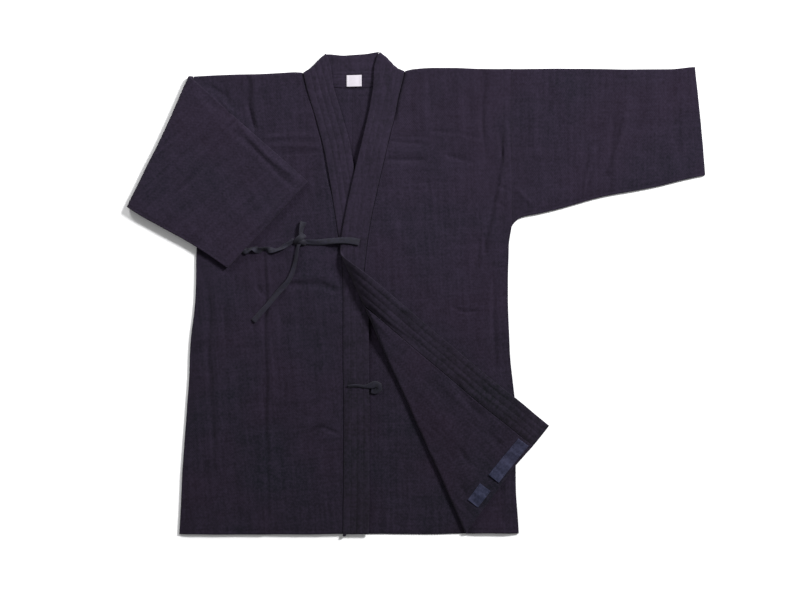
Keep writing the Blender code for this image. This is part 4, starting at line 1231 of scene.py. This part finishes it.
def place_band(neck, side):
    """Where points of a front's collar band lie, from where it turns at the neck."""

    def place(places, offsets):
        settled = smooth((places[:, 1] - 10) / 75)
        height = BAND_AT_NECK + (BAND_FRONT - BAND_AT_NECK) * settled
        points = np.column_stack((places, height + offsets))
        if side == "left":
            front = turn_flap(places, points, ())
        else:
            front = points + np.column_stack(
                (np.zeros((len(places), 2)), bedded(slack(places, 11) * clear_of_edges(places, side))))
        return np.where((neck.turned(places) > 0)[:, None], neck.close(points), front)

    return place


def line_meets(neck, run):
    """Where the edge of a band crosses its end cut."""
    past = neck.split(run)[1] - NECK_END
    for index in range(len(run) - 1):
        if past[index] > 0 >= past[index + 1]:
            share = past[index] / (past[index] - past[index + 1])
            return run[index] + (run[index + 1] - run[index]) * share
    return run[0]


def band_outline(neck, seam, foot, free):
    """Down the seam, across the foot, up the free edge, and cut straight just past the neck's turn."""
    first, last = line_meets(neck, seam), line_meets(neck, free)
    seam = seam[neck.split(seam)[1] < NECK_END - 0.5]
    free = free[neck.split(free)[1] < NECK_END - 0.5]
    return joined([first], seam, foot, free[::-1], straight_through((last, first), EDGE_STEP)[:-1])


def band_lines(seam, sign):
    """Lines down the band, on and beside its rows of stitching."""
    offs = [row + step for row in BAND_ROWS for step in (-0.8, 0.0, 0.8)]
    for row, after in zip(BAND_ROWS, BAND_ROWS[1:]):
        count = round((after - row) / BAND_MESH)
        offs += [row + (after - row) * index / count for index in range(1, count)]
    return [beside(seam, sign * off) for off in sorted(offs)]


def band_rows(seam, sign):
    """The rows of stitching down the band."""
    return [beside(seam, sign * row) for row in BAND_ROWS]


neck = NECK_TURN_RIGHT
above = neck.join(0.0, 9.5) + (-2.0, -1.0)
seam = joined(straight_through((above, NECK_RIGHT), EDGE_STEP), seam_edge("right", HEM),
              [(-16.7, HEM + 0.6)])
free = beside(seam, BAND_WIDTH + NECK_SPREAD * (1 - smooth(seam[:, 1] / 50)))
nub = curve_through(((-16.7, HEM + 0.6), (-16.9, HEM + 3.4), (-14.0, HEM + 4.4), (-11.2, HEM + 3.2),
                     (-10.5, HEM + 0.6)), 1.2)
foot = joined(nub, straight_through(((-10.5, HEM + 0.6), (free[-1][0], HEM)), EDGE_STEP))
outline = band_outline(neck, seam, foot, free)
right_band_rows = [run[4:-3] for run in band_rows(seam, 1)]
rib = band_rib(seam)
place = place_band(neck, "right")
lapel_right = cloth(
    "right_band", band_cotton(), outline, place, BAND_THICK / 2, (),
    band_lines(seam, 1) + neck.lines(-8.0, 60.0, BAND_TURN_STEP),
    over_rise=lambda spot: rib(spot) + 0.6 * row_dip(right_band_rows, spot),
)
right_band_stitches = stitches("right_band_stitches", right_band_rows, place, BAND_THICK / 2 - 0.2)
size, area = sheet_size(outline)
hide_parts("lapel_right")


# Collar band down the left front
# The same quilted strip. Its lower part is turned back with the corner of the front, and near the
# top of that fold it is too stiff to lie down, so it stands up on its edge.

BAND_SPREAD = 4.5
NECK_TURN_LEFT = Fold((51.8, -30.5), NECK_LEFT, BAND_AT_NECK, BAND_THICK / 2, NECK_ROLL, down=True)

neck = NECK_TURN_LEFT
above = neck.join(57.5, 9.5) + (2.0, -1.0)
seam = joined(straight_through((above, NECK_LEFT), EDGE_STEP), seam_edge("left", HEM))
seam = np.vstack((seam[seam[:, 1] < HEM_AT_BAND - 1.5], [(9.3, HEM_AT_BAND)]))
free = beside(seam, -BAND_WIDTH - BAND_SPREAD * (1 - smooth(seam[:, 1] / 90))
              - NECK_SPREAD * (1 - smooth(seam[:, 1] / 50)))
foot = straight_through((seam[-1], (free[-1][0], HEM_AT_BAND - 3.0)), EDGE_STEP)
outline = band_outline(neck, seam, foot, free)
left_band_rows = [run[4:-3] for run in band_rows(seam, -1)]
left_rib = band_rib(seam)
left_place = place_band(neck, "left")
lapel_left = cloth(
    "left_band", band_cotton(), outline, left_place, BAND_THICK / 2, (),
    band_lines(seam, -1) + neck.lines(-8.0, 66.0, BAND_TURN_STEP)
    + FLAP.lines(FLAP.length - 95.0, FLAP.length + 14.0, BAND_TURN_STEP),
    over_rise=lambda spot: left_rib(spot) + 0.6 * row_dip(left_band_rows, spot),
    under_rise=lambda spot: (left_rib(spot) + 0.6 * row_dip(left_band_rows, spot)) * FLAP.turned(spot),
)
left_band_stitches = stitches("left_band_stitches", left_band_rows, left_place, BAND_THICK / 2 - 0.2)
left_band_wrong_side = stitches("left_band_wrong_side_stitches", left_band_rows, left_place,
                                -BAND_THICK / 2 + 0.2)
size, area = sheet_size(outline)
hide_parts("lapel_left")


# Collar band round the back neck
# The middle of the band, its inner face up, sewn down along the back neck seam. Rows of stitching
# cross it where the band's ends and the neck seam are caught.

COLLAR_ROWS = (3.0, 9.5, 15.5, 27.0)
COLLAR_THINS = 0.9


def place_collar(places, offsets):
    """The back collar lies flat."""
    return np.column_stack((places, BAND_BACK + offsets))


inset = 2 * NECK_TURN_RIGHT.inset - math.pi * NECK_ROLL + NECK_END + SEAM_GAP
right, left = NECK_TURN_RIGHT, NECK_TURN_LEFT
top_edge = ((-43.8, -20.1), (-48.6, -24.2), (0.0, -27.6), (51.0, -30.4), (49.0, -27.4))
neck_seam = joined(back_neck("right"), back_neck("left")[::-1]) + (0.0, 0.6)
neck_seam = neck_seam[np.minimum(-right.split(neck_seam)[1], -left.split(neck_seam)[1]) > inset]
outline = joined(straight_through(top_edge, EDGE_STEP), [left.join(50.0, -inset)], neck_seam[::-1],
                 [right.join(6.0, -inset)])
collar_rows = [straight_through(((-52.0, row + 0.5), (56.0, row - 1.0)), EDGE_STEP) for row in COLLAR_ROWS]
collar_rows = [run[is_inside(outline, run)][1:-1] for run in collar_rows]


def collar_rib(places):
    """The collar swells between its rows, and thins down to the back at its seam."""
    swell = 0.5 * BAND_RIB * np.abs(np.sin(math.pi * (places[:, 1] + 0.5) / 12.5)) ** 1.3
    return swell - COLLAR_THINS * (1 - smooth(distance_to(neck_seam, places) / 9))


collar_back = cloth(
    "back_collar", band_cotton(), outline, place_collar, BAND_THICK / 2,
    (grid(outline, BAND_MESH),),
    row_lines(collar_rows),
    over_rise=lambda spot: collar_rib(spot) + row_dip(collar_rows, spot) + 0.25 * slack(spot, 61),
)
collar_stitches = stitches("back_collar_stitches", collar_rows, place_collar, BAND_THICK / 2 - 0.1)
size, area = sheet_size(outline)
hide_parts("collar_back")


# Label
# A small white woven label, its ends turned under and stitched down inside the back neck. It is
# left bare.

LABEL_THICK = 0.8
LABEL_LOW = BAND_THICK + BAND_RIB + SEAM_GAP
LABEL_WHITE = "#c3bec6"
LABEL_DULL = "#b2adb6"
LABEL_RIB = 1.2
LABEL_MESH = 1.5
LABEL_BOW = 0.5
LABEL_CORNERS = ((-10.3, 10.2), (17.8, 9.8), (18.0, 31.0), (-10.0, 31.5), (-10.3, 10.2))
LABEL_ENDS = (-8.6, 16.3)


@once
def woven_label():
    """Damask-woven polyester: smooth white with fine ribs across it and a faint satin gleam."""
    material, shader = new_material("damask-woven polyester label", 0.55, specular=0.4)
    cut = add_node(material, "ShaderNodeAttribute", attribute_name="cut").outputs["Vector"]
    ribs = add_node(material, "ShaderNodeTexWave", [("Vector", cut)], bands_direction="Y",
                    Scale=1000 / LABEL_RIB / 6.2832, Distortion=0.4, Detail=1.0)
    cloud = add_node(material, "ShaderNodeTexNoise", [("Vector", cut)], Scale=160.0, Detail=2.0)
    tint = add_node(material, "ShaderNodeValToRGB", [("Fac", cloud.outputs["Fac"])],
                    tones=(LABEL_DULL, LABEL_WHITE))
    bump = add_node(material, "ShaderNodeBump", [("Height", ribs.outputs["Fac"])],
                    Strength=0.4, Distance=0.0002)
    material.node_tree.links.new(tint.outputs["Color"], shader.inputs["Base Color"])
    material.node_tree.links.new(bump.outputs["Normal"], shader.inputs["Normal"])
    return material


def place_label(places, offsets):
    """The label bows a little between its two stitched ends."""
    bow = LABEL_BOW * np.sin(math.pi * np.clip((places[:, 0] + 11) / 29.5, 0, 1)) ** 2
    return np.column_stack((places, LABEL_LOW + LABEL_THICK / 2 + bow + offsets))


outline = joined(straight_through(LABEL_CORNERS, LABEL_MESH))
label = cloth(
    "label", woven_label(), outline, place_label, LABEL_THICK / 2,
    (grid(outline, LABEL_MESH),),
    over_rise=lambda spot: 0.35 * (1 - smooth((np.abs(spot[:, 0] - 3.75) - 11.6) / -1.2)),
)
label_ends = [straight_through(((across, 11.0), (across, 30.0)), LABEL_MESH) for across in LABEL_ENDS]
label_stitches = stitches("label_stitches", label_ends, place_label, LABEL_THICK / 2 + 0.1)
size, area = sheet_size(outline)
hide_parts("label")


# Tapes inside the left hem
# Two short lengths of blue woven tape, sewn flat to the wrong side of the front near its hem, so
# they show on the turned corner. They are left bare.

TAPE_THICK = 0.8
TAPE_LOW = CLOTH / 2 + 0.5
TAPE_MESH = 2.0
TAPE_PUCKER = 2.0
PUCKER_RUN = (1.0, 0.45)
TAPE_BLUE = "#1e2031"
TAPE_PLUM = "#211f2f"
TAPE_LIGHT = "#393a50"
Tape = namedtuple("Tape", "name node across down to_across to_down width")
TAPES = (
    Tape("long_hem_tape", "hem_tape_long", 312.0, 687.0, 261.0, 755.0, 24.0),
    Tape("short_hem_tape", "hem_tape_short", 246.0, 770.0, 223.0, 801.0, 24.0),
)


@once
def blue_tape():
    """Close woven tape in a brighter blue than the cloth, with a slight gleam on its floats."""
    material = woven("woven cotton tape, vat-dyed blue", 1.8, 2.6, 0.15, TAPE_BLUE, TAPE_PLUM, TAPE_LIGHT,
                     painted_top_light=0.0)
    shader = material.node_tree.nodes["Principled BSDF"]
    shader.inputs["Roughness"].default_value = 0.7
    return material


for tape in TAPES:
    spine = straight_through(((tape.across, tape.down), (tape.to_across, tape.to_down)), 2.0)
    seen = joined(beside(spine, tape.width / 2), beside(spine, -tape.width / 2)[::-1])
    rows = [beside(spine, off * (tape.width / 2 - 1.8)) for off in (-1, 1)]
    outline = SHOULDER_LEFT.open(FLAP.open(seen))
    rows = [SHOULDER_LEFT.open(FLAP.open(run)) for run in rows]
    piece = cloth(
        tape.name, blue_tape(), outline,
        lambda spot, off: place_body_left(spot, TAPE_LOW + TAPE_THICK / 2 + off),
        TAPE_THICK / 2, (grid(outline, TAPE_MESH),),
        over_rise=lambda spot: TAPE_PUCKER * np.maximum(unevenness(spot * PUCKER_RUN, 9.0, 93), -0.12),
    )
    sewn = stitches(tape.name + "_stitches", rows, place_body_left, TAPE_LOW + TAPE_THICK)
    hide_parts(tape.node)


# Chest ties
# Flat cotton tapes sewn into the bands and the side, which close the front. The two are knotted
# together over the right band, the left one's long end hanging down from the knot.

TIE_WIDTH = 13.5
TIE_THICK = 1.8
TIE_STEP = 2.5
TIE_BLUE = "#0b0b15"
TIE_PLUM = "#100c18"
TIE_LIGHT = "#201d30"

# lean turns the tape about its own run, in degrees, and share is how much of its width is spread
Route = namedtuple("Route", "across down height lean share")
CHEST_TIE = (
    Route(14.0, 319.5, 13.9, 2, 0.9),
    Route(0.0, 316.5, 14.1, 10, 0.92),
    Route(-18.0, 315.5, 13.6, 14, 0.85),
    Route(-32.0, 316.0, 11.8, 20, 0.85),
    Route(-46.0, 317.0, 9.2, 6, 0.85),
    Route(-62.0, 318.5, 8.6, -10, 0.8),
    Route(-80.0, 318.0, 9.4, -16, 0.7),
    Route(-90.0, 317.5, 10.4, 0, 0.6),
    Route(-97.0, 323.0, 11.4, 22, 0.5),
    Route(-100.0, 334.0, 11.4, 36, 0.52),
    Route(-103.0, 350.0, 10.8, 30, 0.55),
    Route(-108.0, 368.0, 10.0, 8, 0.6),
    Route(-117.0, 389.0, 9.4, -22, 0.66),
    Route(-137.0, 412.0, 8.8, 2, 0.72),
    Route(-155.0, 433.0, 8.8, 14, 0.72),
    Route(-183.0, 465.0, 8.2, 4, 0.75),
)
CHEST_TIE_EAR = (
    Route(-93.5, 306.0, 11.2, 10, 0.6),
    Route(-93.5, 300.0, 10.6, 30, 0.66),
    Route(-92.0, 291.0, 9.8, 38, 0.8),
    Route(-89.0, 281.0, 8.6, 12, 0.9),
)
CHEST_TIE_RIGHT = (
    Route(-218.0, 334.0, 8.2, 30, 0.85),
    Route(-207.0, 331.0, 8.8, 52, 0.8),
    Route(-195.0, 334.0, 8.6, -20, 0.9),
    Route(-184.0, 330.0, 9.0, -54, 0.8),
    Route(-172.0, 333.0, 8.8, 24, 0.9),
    Route(-160.0, 330.0, 9.2, 56, 0.75),
    Route(-148.0, 333.0, 8.8, -24, 0.85),
    Route(-134.0, 331.0, 8.8, -50, 0.7),
    Route(-118.0, 322.0, 8.8, 10, 0.6),
    Route(-105.5, 314.0, 9.2, 10, 0.6),
)
KNOT_WRAPS = (
    (Route(-103.0, 321.0, 8.6, 0, 0.7), Route(-100.5, 316.0, 12.6, 0, 0.9),
     Route(-95.0, 311.0, 14.6, 0, 0.95), Route(-89.0, 307.0, 11.4, 0, 0.8),
     Route(-87.0, 305.0, 8.4, 0, 0.7)),
    (Route(-85.0, 323.0, 7.4, 0, 0.7), Route(-87.5, 319.5, 11.6, 0, 0.8),
     Route(-93.5, 317.0, 13.6, 0, 0.85), Route(-100.0, 318.5, 11.0, 0, 0.8),
     Route(-103.0, 322.0, 7.4, 0, 0.7)),
)
KNOT = (-94.5, 313.5, 5.9)
KNOT_SIZE = (14.0, 14.0, 7.6)


@once
def tie_cotton():
    """Cotton tape worn smooth: bluer and lighter than the jacket, with a soft gleam on its edges."""
    material = woven("plain-woven cotton tape, indigo dyed", 1.6, 2.2, 0.16, TIE_BLUE, TIE_PLUM, TIE_LIGHT,
                     painted_top_light=0.0)
    shader = material.node_tree.nodes["Principled BSDF"]
    shader.inputs["Roughness"].default_value = 0.72
    shader.inputs["Sheen Weight"].default_value = 0.05
    shader.inputs["Specular IOR Level"].default_value = 0.2
    return material


def tie(name, routes, width=TIE_WIDTH, thick=TIE_THICK):
    """A flat tape along a route, with rounded selvedges and the slight cup of a worn tape."""
    run = curve_through([(*route[:3], route.lean, route.share * width) for route in routes], TIE_STEP)
    points, leans, widths = run[:, :3], np.radians(run[:, 3]), run[:, 4]
    way = ways(points)
    side = np.column_stack((way[:, 1], -way[:, 0], np.zeros(len(way))))
    side /= np.linalg.norm(side, axis=1)[:, None]
    up = np.cross(way, side)
    up *= np.sign(up[:, 2])[:, None]
    lean_side = side * np.cos(leans)[:, None] + up * np.sin(leans)[:, None]
    lean_up = up * np.cos(leans)[:, None] - side * np.sin(leans)[:, None]
    length = np.concatenate(((0.0,), np.cumsum(np.linalg.norm(points[1:] - points[:-1], axis=1))))
    rings, cut = [], []
    shares = (-0.5, -0.47, -0.38, -0.19, 0.0, 0.19, 0.38, 0.47)
    section = [(s, 1.0) for s in shares] + [(-s, -1.0) for s in shares]
    cup = 0.55 * np.sin(length / 17.0 + len(name))
    for across, face in section:
        full = math.sqrt(max(0.0, 1 - (abs(across) / 0.5) ** 4))
        height = face * thick / 2 * full
        wave = 0.25 * np.sin(length / 9.0 + 5.0 * across) + cup * ((2 * across) ** 2 - 0.4)
        rings.append(points + lean_side * (across * widths)[:, None] + lean_up * (height + wave)[:, None])
        cut.append(np.column_stack((np.full(len(run), across * width), length, np.full(len(run), height))))
    count, around = len(run), len(section)
    points_all, cut_all = np.vstack(rings), np.vstack(cut)
    faces = []
    for index in range(around):
        after = (index + 1) % around
        for station in range(count - 1):
            faces.append((index * count + station, after * count + station,
                          after * count + station + 1, index * count + station + 1))
    faces.append(tuple(index * count for index in range(around))[::-1])
    faces.append(tuple(index * count + count - 1 for index in range(around)))
    piece = make_piece(name, tie_cotton(), points_all, faces, cut_all)
    return piece, [tuple(point) for point in world(points)], float(length[-1]) / 1000


def knot_core(name, centre, size):
    """The inside of the knot, hidden by the tape wrapped over it but for small gaps."""
    mesh = bmesh.new()
    bmesh.ops.create_icosphere(mesh, subdivisions=4, radius=0.5)
    places = np.array([vertex.co for vertex in mesh.verts])
    faces = [[vertex.index for vertex in face.verts] for face in mesh.faces]
    mesh.free()
    ripple = 1 + 0.06 * np.sin(9 * places[:, 0] + 4 * places[:, 2]) * np.cos(8 * places[:, 1])
    points = np.array(centre) + (0, 0, size[2] / 2) + places * ripple[:, None] * np.array(size)
    piece = make_piece(name, tie_cotton(), points, faces, places * np.array(size))
    return piece


chest_tie, chest_path, chest_length = tie("left_chest_tie", CHEST_TIE)
chest_ear = tie("chest_tie_short_end", CHEST_TIE_EAR)[0]
chest_right, right_path, right_length = tie("right_chest_tie", CHEST_TIE_RIGHT)
knot = knot_core("chest_knot_core", KNOT, KNOT_SIZE)
wraps = [tie(f"chest_knot_wrap_{number}", wrap, width=12.0)[0] for number, wrap in enumerate(KNOT_WRAPS, 1)]
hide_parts("chest_tie_left", "chest_tie_tail")
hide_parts("chest_tie_ear")
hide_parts("chest_tie_right")
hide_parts("chest_knot")
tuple(chest_path[0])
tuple(right_path[0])


# Inner tie
# A short tape of the same kind, sewn inside the left front. It lies across the right band and
# curls over on itself past the band's edge.

INNER_TIE = (
    Route(-9.0, 585.0, 9.4, 24, 0.5),
    Route(8.0, 584.0, 9.4, 34, 0.5),
    Route(24.0, 585.5, 9.6, 20, 0.5),
    Route(34.0, 583.5, 10.4, 12, 0.8),
    Route(43.0, 580.5, 10.4, 10, 0.9),
    Route(49.5, 583.0, 9.4, 0, 0.85),
    Route(49.5, 589.5, 7.0, -4, 0.85),
    Route(43.0, 593.0, 5.2, -4, 0.9),
    Route(35.0, 591.5, 4.6, 0, 0.9),
)

inner_tie, inner_path, inner_length = tie("inner_tie", INNER_TIE)
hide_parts("inner_tie", "inner_tie_knot")
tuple(inner_path[0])


# Floor, light and camera
# A plain pale paper floor under soft white studio light, its brighter side above and to the right.
# The camera looks straight down from a tripod.

FLOOR_WHITE = "#f7f7f8"
FLOOR_DULL = "#f3f3f4"
FLOOR_SIZE = 6.0
FLOOR_LOW = 0.0003
VIEW_CENTRE = (-0.0294, -0.0093)
VIEW_WIDTH = 1.48
VIEW_HEIGHT = 3.2
SENSOR = 36.0
ROOM_LIGHT = 0.34

floor_data = bpy.data.meshes.new("floor")
half = FLOOR_SIZE / 2
floor_data.from_pydata([(-half, -half, -FLOOR_LOW), (half, -half, -FLOOR_LOW), (half, half, -FLOOR_LOW),
                        (-half, half, -FLOOR_LOW)], [], [(0, 1, 2, 3)])
floor = bpy.data.objects.new("floor", floor_data)
bpy.context.scene.collection.objects.link(floor)
paper, shader = new_material("matt white seamless paper", 0.9)
fibre = add_node(paper, "ShaderNodeTexNoise", [], Scale=260.0, Detail=3.0)
place_on_paper = add_node(paper, "ShaderNodeTexCoord").outputs["Object"]
paper.node_tree.links.new(place_on_paper, fibre.inputs["Vector"])
tint = add_node(paper, "ShaderNodeValToRGB", [("Fac", fibre.outputs["Fac"])], tones=(FLOOR_DULL, FLOOR_WHITE))
paper.node_tree.links.new(tint.outputs["Color"], shader.inputs["Base Color"])
floor_data.materials.append(paper)

world_light = bpy.data.worlds.new("studio")
world_light.use_nodes = True
world_light.node_tree.nodes["Background"].inputs["Color"].default_value = (1.0, 1.0, 1.0, 1.0)
world_light.node_tree.nodes["Background"].inputs["Strength"].default_value = ROOM_LIGHT
bpy.context.scene.world = world_light
bpy.context.scene.view_settings.view_transform = "Standard"

# A softbox: where it stands, how wide it is, and its power in watts
Softbox = namedtuple("Softbox", "name at size power")
SOFTBOXES = (
    Softbox("key", (3.6, 3.0, 3.3), 1.2, 560.0),
    Softbox("fill", (-1.5, 3.1, 1.5), 1.0, 80.0),
)
for box in SOFTBOXES:
    light = bpy.data.lights.new(box.name, "AREA")
    light.size = box.size
    light.energy = box.power
    lamp = bpy.data.objects.new(box.name, light)
    lamp.location = box.at
    lamp.rotation_euler = Vector(box.at).to_track_quat("Z", "Y").to_euler()
    bpy.context.scene.collection.objects.link(lamp)

camera_data = bpy.data.cameras.new("camera")
camera_data.sensor_width = SENSOR
camera_data.lens = SENSOR * VIEW_HEIGHT / VIEW_WIDTH
camera = bpy.data.objects.new("camera", camera_data)
camera.location = (*VIEW_CENTRE, VIEW_HEIGHT)
bpy.context.scene.collection.objects.link(camera)
bpy.context.scene.camera = camera
